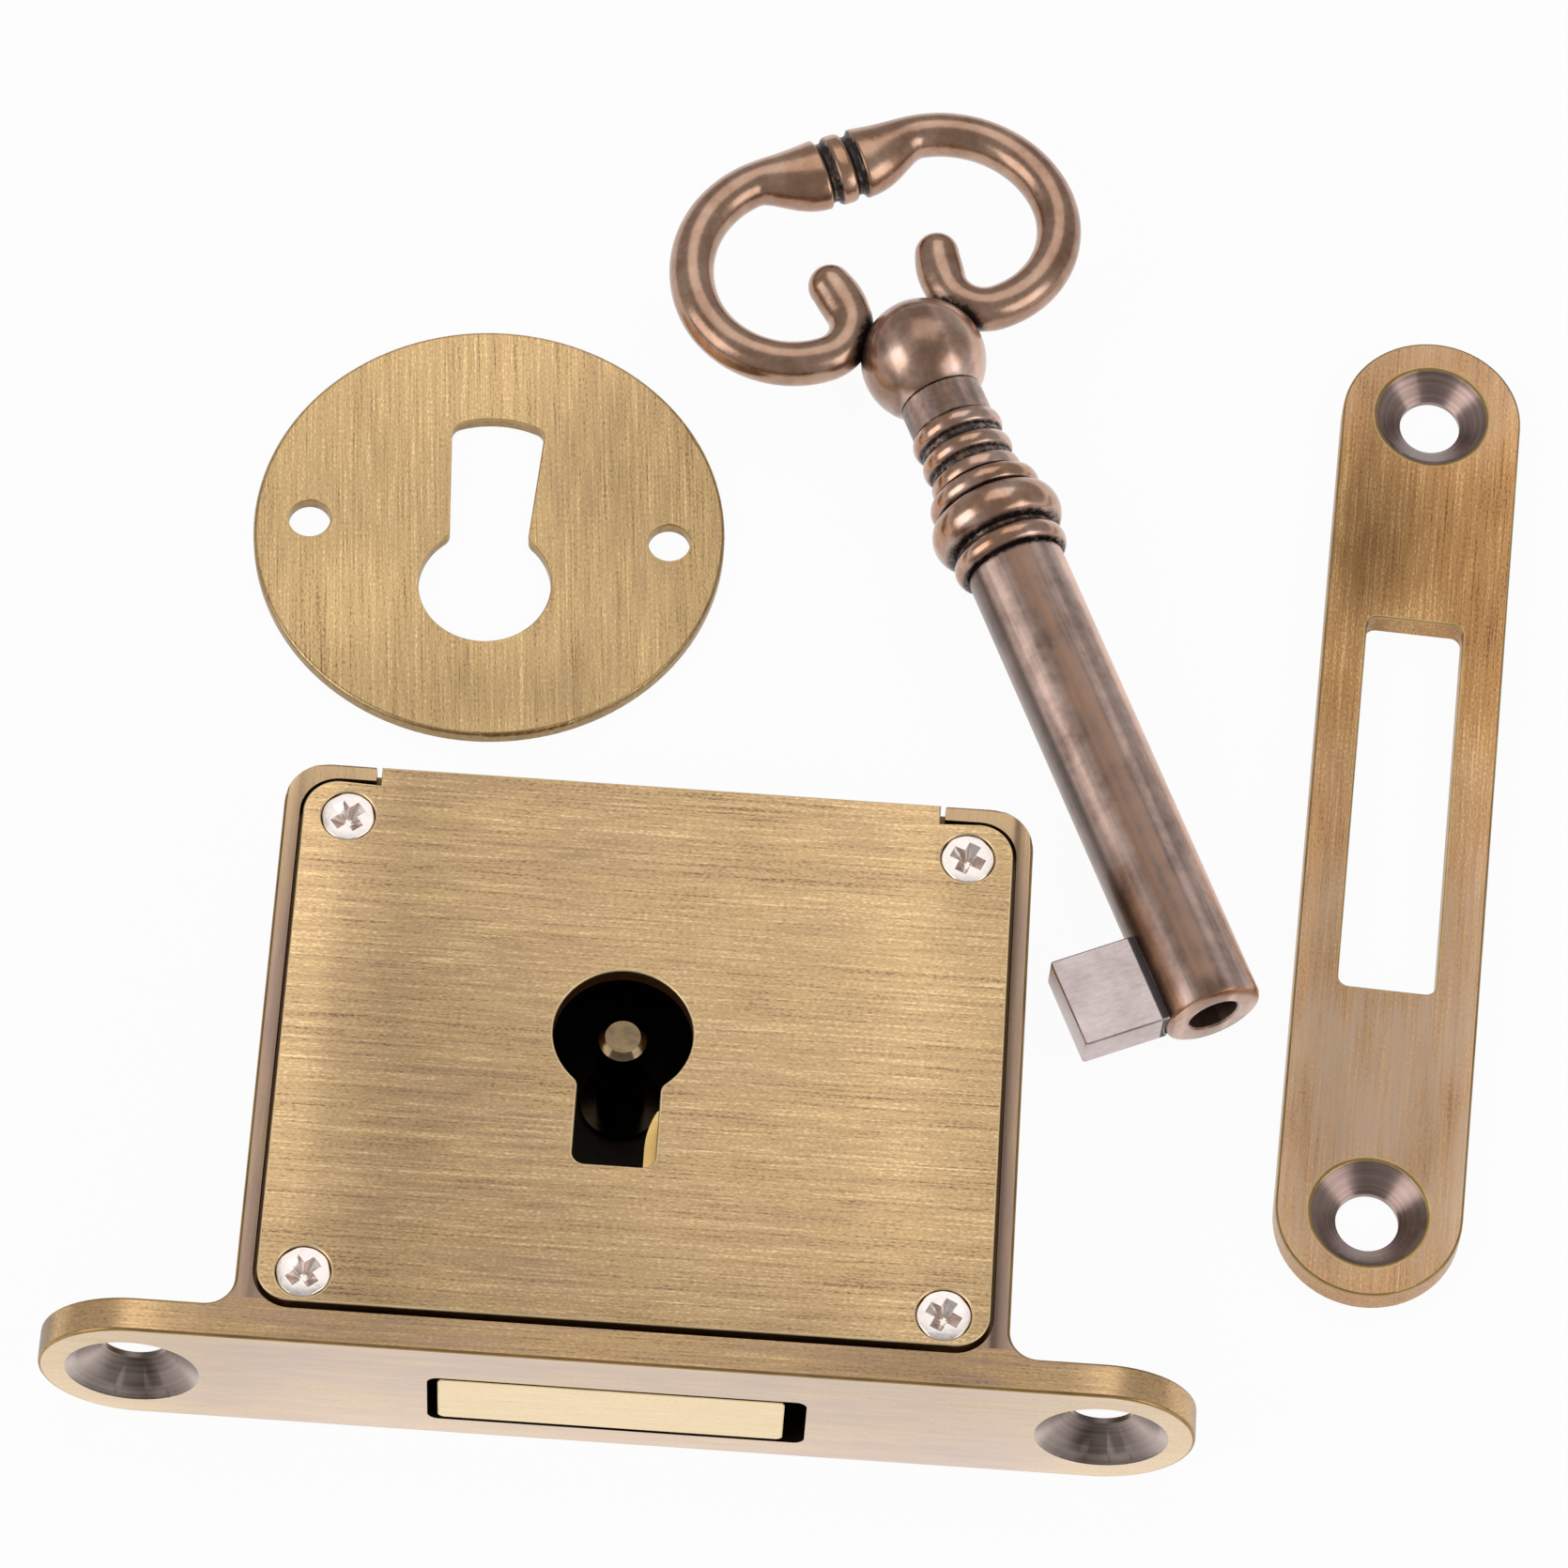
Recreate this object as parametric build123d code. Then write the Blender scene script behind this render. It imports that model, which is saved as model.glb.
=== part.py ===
from build123d import *
import math
import os

# A mortice drawer lock with its key, key escutcheon and strike plate, laid out on a table.
# The lock lies on its back with the cover up. X runs along the faceplate, the faceplate's
# front is at Y = 0 and looks along -Y, and the case reaches back along +Y. Millimetres.

# How far a cutter runs past the face that it cuts
CUT = 1.0

# Faceplate and its screw holes
PLATE_LENGTH = 80.0
PLATE_WIDTH = 13.4
PLATE_THICK = 2.5
PLATE_HOLE_SPACING = 67.0
PLATE_HOLE_DIA = 4.5
PLATE_HOLE_LAND = 0.4
PLATE_SINK_DIA = 9.3

# Case tray
CASE_WALL = 2.2
FLOOR_THICK = 2.3
RIM_WIDTH = 1.15
CASE_CORNER_R = 3.2
EAR_FILLET_R = 2.0
RIVET_DIA = 2.4

# Cover plate
COVER_THICK = 1.4
COVER_GAP = 0.3
COVER_FRONT_GAP = 0.55
COVER_CORNER_R = 2.4
COVER_TAB_WIDTH = 39.8
COVER_TAB_GAP = 0.35

# Cover screws
SCREW_SIDE_INSET = 4.6
SCREW_FRONT_Y = 5.35
SCREW_BACK_INSET = 4.1
SCREW_HEAD_DIA = 3.8
SCREW_THREAD_DIA = 1.9
SCREW_LENGTH = 6.0
SCREW_HEAD_LAND = 0.15
SCREW_SINK_DEG = 90.0
SCREW_CROSS_LENGTH = 2.3
SCREW_CROSS_WIDTH = 0.6
SCREW_CROSS_DEPTH = 0.7
SCREW_BOSS_DIA = 5.2
SCREW_FIT = 0.04
SCREW_TURNS_DEG = (38, 12, 3, 25)

# Keyhole, drill pin and the key's place in the lock
KEY_OFFSET_X = -1.4
KEY_SETBACK = 25.3
KEYHOLE_EASE = 2.45
KEYHOLE_SLOT_EASE = 2.8
KEYHOLE_END_GAP = 0.4
KEYHOLE_CORNER_R = 0.9
PIN_DIA = 3.4
PIN_BELOW_TOP = 0.6
PIN_CHAMFER = 0.45
PIN_SHOULDER_DIA = 5.8
PIN_SHOULDER_HEIGHT = 0.6

# Bolt: a head that fills the slot in the face, and a flat tail behind it
BOLT_WIDTH = 24.0
BOLT_HEIGHT = 6.1
BOLT_THROW = 8.0
BOLT_EDGE_R = 0.5
BOLT_SIDE_GAP = 1.1
BOLT_OFFSET_X = -0.4
BOLT_RUN_GAP = 0.3
BOLT_STOP_GAP = 0.5
SLOT_CORNER_R = 0.8
TAIL_THICK = 2.5
TAIL_BRIDGE = 4.6
TAIL_SIDE_GAP = 0.9
TAIL_BACK_GAP = 1.0
SWEEP_GAP = 0.4
TALON_MOUTH = 7.9
TALON_WIDTH = 6.5
TALON_ROOT_GAP = 0.7
GUIDE_PIN_X = 15.3
GUIDE_PIN_Y = 31.0
GUIDE_FIT = 0.08
GUIDE_TOP_GAP = 0.1
STUMP_DIA = 2.0
STUMP_X = 13.0
STUMP_Y = 24.2
STUMP_SINK = 1.5
STUMP_ABOVE = 0.4

# Levers and their springs
LEVER_THICK = 1.9
LEVER_GAP = 0.3
LEVER_LIFT_DEG = 13.0
LEVER_PIVOT_X = 21.3
LEVER_PIVOT_Y = 33.0
LEVER_EYE_R = 2.4
LEVER_EYE_WALL_GAP = 0.7
LEVER_BORE_FIT = 0.05
LEVER_BACK_STRIP = 2.2
LEVER_HEEL_REACH = 4.2
LEVER_BOTTOM_GAP = 0.6
LEVER_CORNER_R = 0.6
TOE_GAP = 0.53
TOE_TIP_IN = 0.72
TOE_TIP_DROP = 4.0
TOE_FLAT_DROP = 7.1
TOE_BULGE = 0.22
BELLY_IN = 8.9
BELLY_DROP = 0.9
GATE_FIT = 0.15
GATE_STEPS = 6
SPRING_THICK = 0.3
SPRING_ROOT_X = 23.3
SPRING_TOUCH_UP = 8.5
SPRING_FIT = 0.05
SPRING_ROOT_DEPTH = 1.6

# Key, turned on one axis; distances along it run from the ball towards the tip
BARREL_DIA = 7.35
BARREL_BORE_GAP = 0.15
BARREL_BORE_DEPTH = 16.0
KEY_TIP = 57.9
BIT_LENGTH = 7.0
BIT_REACH = 9.9
BIT_THICK = 3.0
BIT_TIP_GAP = 0.25
BALL_R = 4.7
BALL_AT = 0.3
BALL_STEPS = 12
NECK_R = 3.15
NECK_END = 6.7
BEADS = (
    # start, end, radius at the ends, bulge
    (6.7, 7.95, 3.25, 0.25),
    (8.75, 10.0, 3.25, 0.25),
    (10.85, 11.8, 3.42, 0.08),
    (12.2, 13.6, 3.95, 0.3),
    (13.95, 16.75, 4.35, 0.65),
    (17.35, 18.85, 4.0, 0.35),
)
BEAD_STEPS = 4
GROOVE_R = 3.1
BIG_GROOVE_R = 3.8
BIG_GROOVE_FROM = 12.9

# Bow: two scrolls of round wire that meet in a banded top
WIRE_R = 1.68
SCROLL_LOW_Y = 2.2
SCROLL_MID_X = 6.9
SCROLL_R = 7.37
SCROLL_TOP_R = 8.8
CURL_R = 3.0
CURL_TIP_RISE = 2.8
CURL_TIP_R = 10.0
BAND_HALF = 0.67
BAND_GROOVE = 0.85
BAND_R = 2.85
BAND_GROOVE_R = 2.45
BAND_DEPTH_R = 2.25
BAND_DROP = 0.9
SWELL_RISE = 0.22
SWELL_R = 2.08
SWELL_DEPTH_R = 1.77

# Escutcheon
ESCUTCHEON_DIA = 35.0
ESCUTCHEON_THICK = 1.0
ESCUTCHEON_HOLE_SPACING = 26.8
ESCUTCHEON_HOLE_DIA = 3.1
ESCUTCHEON_EDGE_R = 0.3
ESCUTCHEON_HOLE_DROP = 4.6
ESCUTCHEON_SLOT_EXTRA = 4.0
ESCUTCHEON_SLOT_FLARE = 1.15
ESCUTCHEON_SLOT_ARCH = 0.8

# Strike plate, a match for the faceplate
STRIKE_THICK = 2.0
STRIKE_SINK_DIA = 8.5
STRIKE_SLOT_LENGTH = 31.0
STRIKE_SLOT_EASE = 1.0

# Where the loose pieces lie, from the middle of the faceplate's front
ESCUTCHEON_X = -14.4
ESCUTCHEON_Y = 72.8
STRIKE_X = 53.8
STRIKE_Y = 54.4
STRIKE_TURN_DEG = -2.9
KEY_MID_X = 24.6
KEY_MID_Y = 70.5
KEY_TURN_DEG = 24.1

# Levels in the lock, upwards from the table
z_floor = FLOOR_THICK
z_bolt = z_floor + BOLT_RUN_GAP
z_bolt_top = z_bolt + BOLT_HEIGHT
z_tail_top = z_bolt + TAIL_THICK
z_top = PLATE_WIDTH
z_cover = z_top - COVER_THICK
z_mid = PLATE_WIDTH / 2
LEVERS = ("lower", "upper")
lever_z = [z_tail_top + LEVER_GAP + i * (LEVER_THICK + LEVER_GAP) for i in range(len(LEVERS))]
z_levers_top = lever_z[-1] + LEVER_THICK

# Sizes that follow from what fits inside
barrel_r = BARREL_DIA / 2
case_half = LEVER_PIVOT_X + LEVER_EYE_R + LEVER_EYE_WALL_GAP + CASE_WALL
inner_half = case_half - CASE_WALL
screw_x = case_half - SCREW_SIDE_INSET
boss_r = SCREW_BOSS_DIA / 2
head_depth = PLATE_THICK + BOLT_STOP_GAP + BOLT_THROW
sweep_r = BIT_REACH + SWEEP_GAP
window_front = KEY_SETBACK - sweep_r
window_back = KEY_SETBACK + barrel_r + BOLT_THROW + SWEEP_GAP
window_left = KEY_OFFSET_X - sweep_r
window_right = KEY_OFFSET_X + TALON_MOUTH
tail_back = window_back + TAIL_BRIDGE
tail_half = screw_x - boss_r - TAIL_SIDE_GAP
inner_back = tail_back + TAIL_BACK_GAP
case_depth = inner_back + CASE_WALL
screw_back_y = case_depth - SCREW_BACK_INSET
cover_half = case_half - RIM_WIDTH - COVER_GAP
cover_front = PLATE_THICK + COVER_FRONT_GAP
cover_back = case_depth - RIM_WIDTH - COVER_GAP
tab_half = COVER_TAB_WIDTH / 2
keyhole_r = (BARREL_DIA + KEYHOLE_EASE) / 2
keyhole_slot = BIT_THICK + KEYHOLE_SLOT_EASE
keyhole_reach = BIT_REACH + KEYHOLE_END_GAP
pin_r = PIN_DIA / 2
rivet_r = RIVET_DIA / 2
stump_r = STUMP_DIA / 2

SCREW_PLACES = [
    (side * screw_x, y) for y in (SCREW_FRONT_Y, screw_back_y) for side in (-1, 1)
]


def disc(radius, x, y, z0, z1):
    """A round post or drill from z0 to z1."""
    return Pos(x, y, z0) * extrude(Circle(radius), z1 - z0)


def block(x0, x1, y0, y1, z0, z1, corner=0.0):
    """A block between two corners, with its upright edges rounded."""
    outline = Rectangle(x1 - x0, y1 - y0)
    if corner > 0:
        outline = RectangleRounded(x1 - x0, y1 - y0, corner)
    return Pos((x0 + x1) / 2, (y0 + y1) / 2, z0) * extrude(outline, z1 - z0)


def sink(radius, hole_r, bottom, top):
    """A countersink that widens from the hole at z = bottom to its mouth at z = top."""
    cone = Pos(0, 0, (bottom + top) / 2) * Cone(hole_r, radius, top - bottom)
    return cone + disc(radius, 0, 0, top, top + CUT)


def screw_cone(radius, hole_r):
    """How deep a countersink for a screw's head is between two radii."""
    return (radius - hole_r) / math.tan(math.radians(SCREW_SINK_DEG / 2))


def turned(profile):
    """A solid of revolution about Z from (radius, z) points, closed along the axis."""
    points = [(0, profile[0][1])] + list(profile) + [(0, profile[-1][1])]
    face = make_face(Polyline([(r, 0, z) for r, z in points], close=True))
    return revolve(face, Axis.Z)


def slotted(points, radius):
    """A flat track: the round of the given radius, run along a chain of points."""
    track = Pos(*points[0]) * Circle(radius)
    for start, end in zip(points, points[1:]):
        length = math.dist(start, end)
        angle = math.degrees(math.atan2(end[1] - start[1], end[0] - start[0]))
        middle = ((start[0] + end[0]) / 2, (start[1] + end[1]) / 2)
        track += Pos(*middle) * Rot(0, 0, angle) * Rectangle(length, 2 * radius)
        track += Pos(*end) * Circle(radius)
    return track


def keyhole(slot_reach, flare, arch):
    """A keyhole's outline about the round part's centre, its slot along -Y."""
    half = keyhole_slot / 2
    end_half = half + flare / 2
    neck = math.sqrt(keyhole_r**2 - half**2)
    sides = Polyline((-half, -neck), (half, -neck), (end_half, -slot_reach))
    back = Line((-end_half, -slot_reach), (-half, -neck))
    if arch > 0:
        end = ThreePointArc((end_half, -slot_reach), (0, -slot_reach - arch), (-end_half, -slot_reach))
    else:
        end = Line((end_half, -slot_reach), (-end_half, -slot_reach))
    slot = make_face(sides + back + end)
    corners = slot.vertices().group_by(Axis.Y)[0]
    slot = fillet(corners, KEYHOLE_CORNER_R)
    hole = slot + Circle(keyhole_r)
    necks = [v for v in hole.vertices() if abs(v.Y + neck) < KEYHOLE_CORNER_R / 2]
    return fillet(necks, KEYHOLE_CORNER_R)


def face_slot():
    """The cutter for the bolt's slot in the faceplate."""
    width = BOLT_WIDTH + 2 * BOLT_SIDE_GAP
    height = BOLT_HEIGHT + 2 * BOLT_RUN_GAP
    outline = RectangleRounded(width, height, SLOT_CORNER_R)
    middle = Plane((0, -CUT, z_bolt + BOLT_HEIGHT / 2), x_dir=(1, 0, 0), z_dir=(0, 1, 0))
    return extrude(middle * outline, PLATE_THICK + 2 * CUT)


def drilled_bar(thick, sink_dia):
    """A bar with full-round ends lying on the table, and its two sunk screw holes."""
    bar = extrude(SlotCenterToCenter(PLATE_LENGTH - PLATE_WIDTH, PLATE_WIDTH), thick)
    hole_r = PLATE_HOLE_DIA / 2
    hole = disc(hole_r, 0, 0, -CUT, thick + CUT) + sink(sink_dia / 2, hole_r, PLATE_HOLE_LAND, thick)
    for side in (-1, 1):
        bar -= Pos(side * PLATE_HOLE_SPACING / 2, 0, 0) * hole
    return bar


def faceplate():
    """The faceplate: a drilled bar set on edge in front of the case."""
    return Pos(0, PLATE_THICK, z_mid) * Rot(90, 0, 0) * drilled_bar(PLATE_THICK, PLATE_SINK_DIA)


def ear_fillets():
    """The hollow corners between the case's sides and the back of the faceplate."""
    web = None
    for side in (-1, 1):
        x0 = side * case_half
        x1 = side * (case_half + EAR_FILLET_R)
        square = block(min(x0, x1), max(x0, x1), PLATE_THICK, PLATE_THICK + EAR_FILLET_R, 0, z_top)
        corner = square - disc(EAR_FILLET_R, x1, PLATE_THICK + EAR_FILLET_R, -CUT, z_top + CUT)
        web = corner if web is None else web + corner
    return web


def housing():
    """The case tray and the faceplate, one casting, with every boss and hole."""
    front = PLATE_THICK / 2
    tray = block(-case_half, case_half, front, case_depth, 0, z_top)
    back_edges = tray.edges().filter_by(Axis.Z).group_by(Axis.Y)[-1]
    tray = fillet(back_edges, CASE_CORNER_R)
    front_cut = block(-case_half - CUT, case_half + CUT, front - CUT, PLATE_THICK, -CUT, z_top + CUT)
    shell = (tray - front_cut) + faceplate() + ear_fillets()
    ledge_y = SCREW_FRONT_Y
    inner_r = CASE_CORNER_R / 2
    shell -= block(-inner_half, inner_half, ledge_y, inner_back, z_floor, z_top + CUT, inner_r)
    notch = tail_half + TAIL_SIDE_GAP / 2
    shell -= block(-notch, notch, PLATE_THICK, ledge_y + 2 * inner_r, z_floor, z_top + CUT)
    for x, y in SCREW_PLACES:
        shell += disc(boss_r, x, y, z_floor, z_cover)
    # the recess that the cover lies in, and the low back wall under its tab
    recess_half = cover_half + COVER_GAP
    recess_back = cover_back + COVER_GAP
    recess_r = COVER_CORNER_R + COVER_GAP
    recess = block(-recess_half, recess_half, PLATE_THICK, recess_back, z_cover, z_top + CUT, recess_r)
    shell -= recess
    tab_cut = tab_half + COVER_TAB_GAP
    shell -= block(-tab_cut, tab_cut, recess_back - 2 * recess_r, case_depth + CUT, z_cover, z_top + CUT)
    shell -= face_slot()
    for x, y in SCREW_PLACES:
        shell -= disc(SCREW_THREAD_DIA / 2 + SCREW_FIT, x, y, z_top - SCREW_LENGTH - CUT, z_top)
    # the seat that holds the levers above the bolt's tail
    shell += disc(LEVER_EYE_R, LEVER_PIVOT_X, LEVER_PIVOT_Y, z_floor, z_tail_top + LEVER_GAP / 2)
    rivets = [(KEY_OFFSET_X, KEY_SETBACK), (LEVER_PIVOT_X, LEVER_PIVOT_Y)]
    rivets += [(side * GUIDE_PIN_X, GUIDE_PIN_Y) for side in (-1, 1)]
    for x, y in rivets:
        shell -= disc(rivet_r, x, y, -CUT, z_top)
    slit = SPRING_THICK / 2 + SPRING_FIT
    slit_x0, slit_x1 = SPRING_ROOT_X - slit, SPRING_ROOT_X + slit
    slit_y0, slit_y1 = spring_root_y() - SPRING_THICK, SCREW_FRONT_Y + 2 * boss_r
    return shell - block(slit_x0, slit_x1, slit_y0, slit_y1, lever_z[0] - SPRING_FIT, z_cover)


def cover_plate():
    """The cover: a plate with a wide tab at its back, a keyhole and four sunk holes."""
    plate = block(-cover_half, cover_half, cover_front, cover_back, z_cover, z_top, COVER_CORNER_R)
    plate += block(-tab_half, tab_half, cover_back - 2 * COVER_CORNER_R, case_depth, z_cover, z_top)
    hole = extrude(keyhole(keyhole_reach, 0, 0), COVER_THICK + 2 * CUT)
    plate -= Pos(KEY_OFFSET_X, KEY_SETBACK, z_cover - CUT) * hole
    thread_r = SCREW_THREAD_DIA / 2 + SCREW_FIT
    head_r = SCREW_HEAD_DIA / 2 + SCREW_FIT
    sink_top = z_top - SCREW_HEAD_LAND
    for x, y in SCREW_PLACES:
        plate -= disc(thread_r, x, y, z_cover - CUT, z_top + CUT)
        plate -= Pos(x, y, 0) * sink(head_r, thread_r, sink_top - screw_cone(head_r, thread_r), sink_top)
    return plate


def cover_screw():
    """One countersunk screw, its head's top at z = 0, with a cross recess."""
    head_r = SCREW_HEAD_DIA / 2
    thread_r = SCREW_THREAD_DIA / 2
    cone_end = -SCREW_HEAD_LAND - screw_cone(head_r, thread_r)
    point = -SCREW_LENGTH
    screw = turned([
        (thread_r / 2, point),
        (thread_r, point + thread_r / 2),
        (thread_r, cone_end),
        (head_r, -SCREW_HEAD_LAND),
        (head_r, 0),
    ])
    for turn in (0, 90):
        arm = Box(SCREW_CROSS_LENGTH, SCREW_CROSS_WIDTH, 2 * SCREW_CROSS_DEPTH)
        screw -= Rot(0, 0, turn) * arm
    return screw


def cover_screws():
    """The four cover screws, each turned as it happened to stop."""
    screws = [
        Pos(x, y, z_top) * Rot(0, 0, turn) * cover_screw()
        for (x, y), turn in zip(SCREW_PLACES, SCREW_TURNS_DEG)
    ]
    return Compound(children=screws)


def drill_pin():
    """The pin that the hollow key turns on, riveted through the floor."""
    top = z_top - PIN_BELOW_TOP
    shoulder = z_floor + PIN_SHOULDER_HEIGHT
    pin = turned([
        (rivet_r, 0),
        (rivet_r, z_floor),
        (PIN_SHOULDER_DIA / 2, z_floor),
        (PIN_SHOULDER_DIA / 2, shoulder),
        (pin_r, shoulder),
        (pin_r, top - PIN_CHAMFER),
        (pin_r - PIN_CHAMFER, top),
    ])
    return Pos(KEY_OFFSET_X, KEY_SETBACK, 0) * pin


def guide_slot(x):
    """The cutter for the slot in the bolt's tail that runs on a guide pin at x."""
    ends = [(x, GUIDE_PIN_Y), (x, GUIDE_PIN_Y + BOLT_THROW)]
    return Pos(0, 0, z_bolt - CUT) * extrude(slotted(ends, rivet_r + GUIDE_FIT), TAIL_THICK + 2 * CUT)


def bolt():
    """The bolt drawn back: its head's end lies flush with the faceplate."""
    left = BOLT_OFFSET_X - BOLT_WIDTH / 2
    right = BOLT_OFFSET_X + BOLT_WIDTH / 2
    head = block(left, right, 0, head_depth, z_bolt, z_bolt_top)
    head = fillet(head.edges().filter_by(Axis.Y), BOLT_EDGE_R)
    tail = block(-tail_half, tail_half, head_depth, tail_back, z_bolt, z_tail_top)
    tail = fillet(tail.edges().filter_by(Axis.Z), CASE_CORNER_R / 2)
    neck = block(left + BOLT_EDGE_R, right - BOLT_EDGE_R, head_depth / 2, window_front, z_bolt, z_tail_top)
    body = head + neck + tail
    z0, z1 = z_bolt - CUT, z_tail_top + CUT
    body -= block(window_left, window_right, window_front, window_back, z0, z1, CASE_CORNER_R / 2)
    # the talon, a notch that the key's bit enters half way along the throw
    talon_y = KEY_SETBACK + BOLT_THROW / 2
    talon_end = KEY_OFFSET_X + BIT_REACH + TALON_ROOT_GAP
    low, high = talon_y - TALON_WIDTH / 2, talon_y + TALON_WIDTH / 2
    body -= block(window_right - CUT, talon_end, low, high, z0, z1)
    for side in (-1, 1):
        body -= guide_slot(side * GUIDE_PIN_X)
    return body - disc(stump_r, STUMP_X, STUMP_Y, z_tail_top - STUMP_SINK, z_tail_top + CUT)


def bolt_stump():
    """The post on the bolt's tail that stands in the levers' gates."""
    return disc(stump_r, STUMP_X, STUMP_Y, z_tail_top - STUMP_SINK, z_levers_top + STUMP_ABOVE)


def bolt_guide_pins():
    """The two pins, riveted through the floor, that the bolt's tail slides along."""
    top = z_tail_top + GUIDE_TOP_GAP
    pins = [disc(rivet_r, side * GUIDE_PIN_X, GUIDE_PIN_Y, 0, top) for side in (-1, 1)]
    return Compound(children=pins)


def lever_pivot():
    """The levers' pivot: a pin with a collar that keeps them down."""
    collar_r = (rivet_r + LEVER_EYE_R) / 2
    collar_z = z_levers_top + LEVER_GAP / 2
    pin = turned([
        (rivet_r, 0),
        (rivet_r, collar_z),
        (collar_r, collar_z),
        (collar_r, z_cover),
    ])
    return Pos(LEVER_PIVOT_X, LEVER_PIVOT_Y, 0) * pin


def stump_in_lever(travel, lift_deg):
    """Where the stump is in a lever's own frame, for a bolt travel and a lift."""
    angle = math.radians(-lift_deg)
    x = STUMP_X - LEVER_PIVOT_X
    y = STUMP_Y - travel - LEVER_PIVOT_Y
    turned_x = x * math.cos(angle) - y * math.sin(angle)
    turned_y = x * math.sin(angle) + y * math.cos(angle)
    return (LEVER_PIVOT_X + turned_x, LEVER_PIVOT_Y + turned_y)


def gate():
    """A lever's gate: the stump's way as lever and bolt move, and its end pocket."""
    way = []
    for step in range(GATE_STEPS + 1):
        share = step / GATE_STEPS
        way.append(stump_in_lever(share * BOLT_THROW, share * LEVER_LIFT_DEG))
    way.append(stump_in_lever(BOLT_THROW, 0))
    return slotted(way, stump_r + GATE_FIT)


def lever_bottom(x):
    """The lowest y of a resting lever at x that clears the bolt's head when lifted."""
    drop = math.radians(LEVER_LIFT_DEG) * (LEVER_PIVOT_X - x)
    return head_depth + LEVER_BOTTOM_GAP + drop


def lever_outline():
    """A lever at rest: eye, gate and a toe that reaches in beside the key's bit."""
    toe_x = KEY_OFFSET_X + BIT_THICK / 2 + TOE_GAP
    heel_x = STUMP_X + LEVER_HEEL_REACH
    toe = (toe_x, lever_bottom(toe_x))
    heel = (heel_x, lever_bottom(heel_x))
    flat_end = (toe_x, KEY_SETBACK - TOE_FLAT_DROP)
    tip = (toe_x + TOE_TIP_IN, KEY_SETBACK - TOE_TIP_DROP)
    bulge = (toe_x + TOE_TIP_IN * TOE_BULGE, (flat_end[1] + tip[1]) / 2)
    belly = (KEY_OFFSET_X + BELLY_IN, KEY_SETBACK - BELLY_DROP)
    eye_right = (LEVER_PIVOT_X + LEVER_BACK_STRIP, LEVER_PIVOT_Y)
    eye_left = (LEVER_PIVOT_X - LEVER_BACK_STRIP, LEVER_PIVOT_Y + LEVER_BACK_STRIP / 2)
    rim = Polyline(tip, belly, eye_left, eye_right, heel, toe, flat_end)
    outline = make_face(rim + ThreePointArc(flat_end, bulge, tip))
    heel_corner = outline.vertices().sort_by_distance((heel[0], heel[1], 0))[0]
    outline = fillet(heel_corner, LEVER_CORNER_R)
    outline += Pos(LEVER_PIVOT_X, LEVER_PIVOT_Y) * Circle(LEVER_EYE_R)
    return outline


def lever(index):
    """One lever, at its level in the pack."""
    flat = lever_outline() - gate()
    flat -= Pos(LEVER_PIVOT_X, LEVER_PIVOT_Y) * Circle(rivet_r + LEVER_BORE_FIT)
    return Pos(0, 0, lever_z[index]) * extrude(flat, LEVER_THICK)


def spring_root_y():
    """Where a lever spring's root ends in its screw boss."""
    return SCREW_FRONT_Y + boss_r - SPRING_ROOT_DEPTH


def lever_spring(index):
    """A leaf spring from the front screw boss to the lever's outer edge."""
    heel_x = STUMP_X + LEVER_HEEL_REACH
    heel_y = lever_bottom(heel_x)
    touch_y = heel_y + SPRING_TOUCH_UP
    edge_share = (touch_y - heel_y) / (LEVER_PIVOT_Y - heel_y)
    edge_x = heel_x + edge_share * (LEVER_PIVOT_X + LEVER_BACK_STRIP - heel_x)
    half = SPRING_THICK / 2
    touch_x = edge_x + half + SPRING_FIT
    root = (SPRING_ROOT_X, spring_root_y())
    bend = (SPRING_ROOT_X, SCREW_FRONT_Y + boss_r + 2 * SPRING_ROOT_DEPTH)
    run = Polyline(root, bend)
    leaf = TangentArc(bend, (touch_x, touch_y), tangent=(0, 1))
    strip = offset(run + leaf, half, kind=Kind.ARC, side=Side.BOTH)
    if not isinstance(strip, (Sketch, Face)):
        strip = make_face(strip)
    return Pos(0, 0, lever_z[index]) * extrude(strip, LEVER_THICK)


def key_profile():
    """The turned outline of the key's shank, radius against distance from the ball."""
    points = []
    sweep_angle = math.pi - math.asin(NECK_R / BALL_R)
    for step in range(1, BALL_STEPS + 1):
        angle = math.pi - step * sweep_angle / BALL_STEPS
        points.append((BALL_R * math.sin(angle), BALL_AT + BALL_R * math.cos(angle)))
    points.append((NECK_R, NECK_END))
    for start, end, edge_r, bulge in BEADS:
        groove = BIG_GROOVE_R if start > BIG_GROOVE_FROM else GROOVE_R
        if points[-1][1] < start:
            points += [(groove, points[-1][1]), (groove, start)]
        for step in range(BEAD_STEPS + 1):
            share = step / BEAD_STEPS
            radius = edge_r + bulge * math.sin(math.pi * share)
            points.append((radius, start + share * (end - start)))
    last = points[-1][1]
    points += [
        (barrel_r, last),
        (barrel_r, KEY_TIP - PIN_CHAMFER),
        (barrel_r - PIN_CHAMFER, KEY_TIP),
    ]
    return points


def key_shank():
    """Ball, beads and barrel, one turned piece, bored at the tip for the drill pin."""
    shank = turned(key_profile())
    bore_r = pin_r + BARREL_BORE_GAP
    return shank - disc(bore_r, 0, 0, KEY_TIP - BARREL_BORE_DEPTH, KEY_TIP + CUT)


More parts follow.
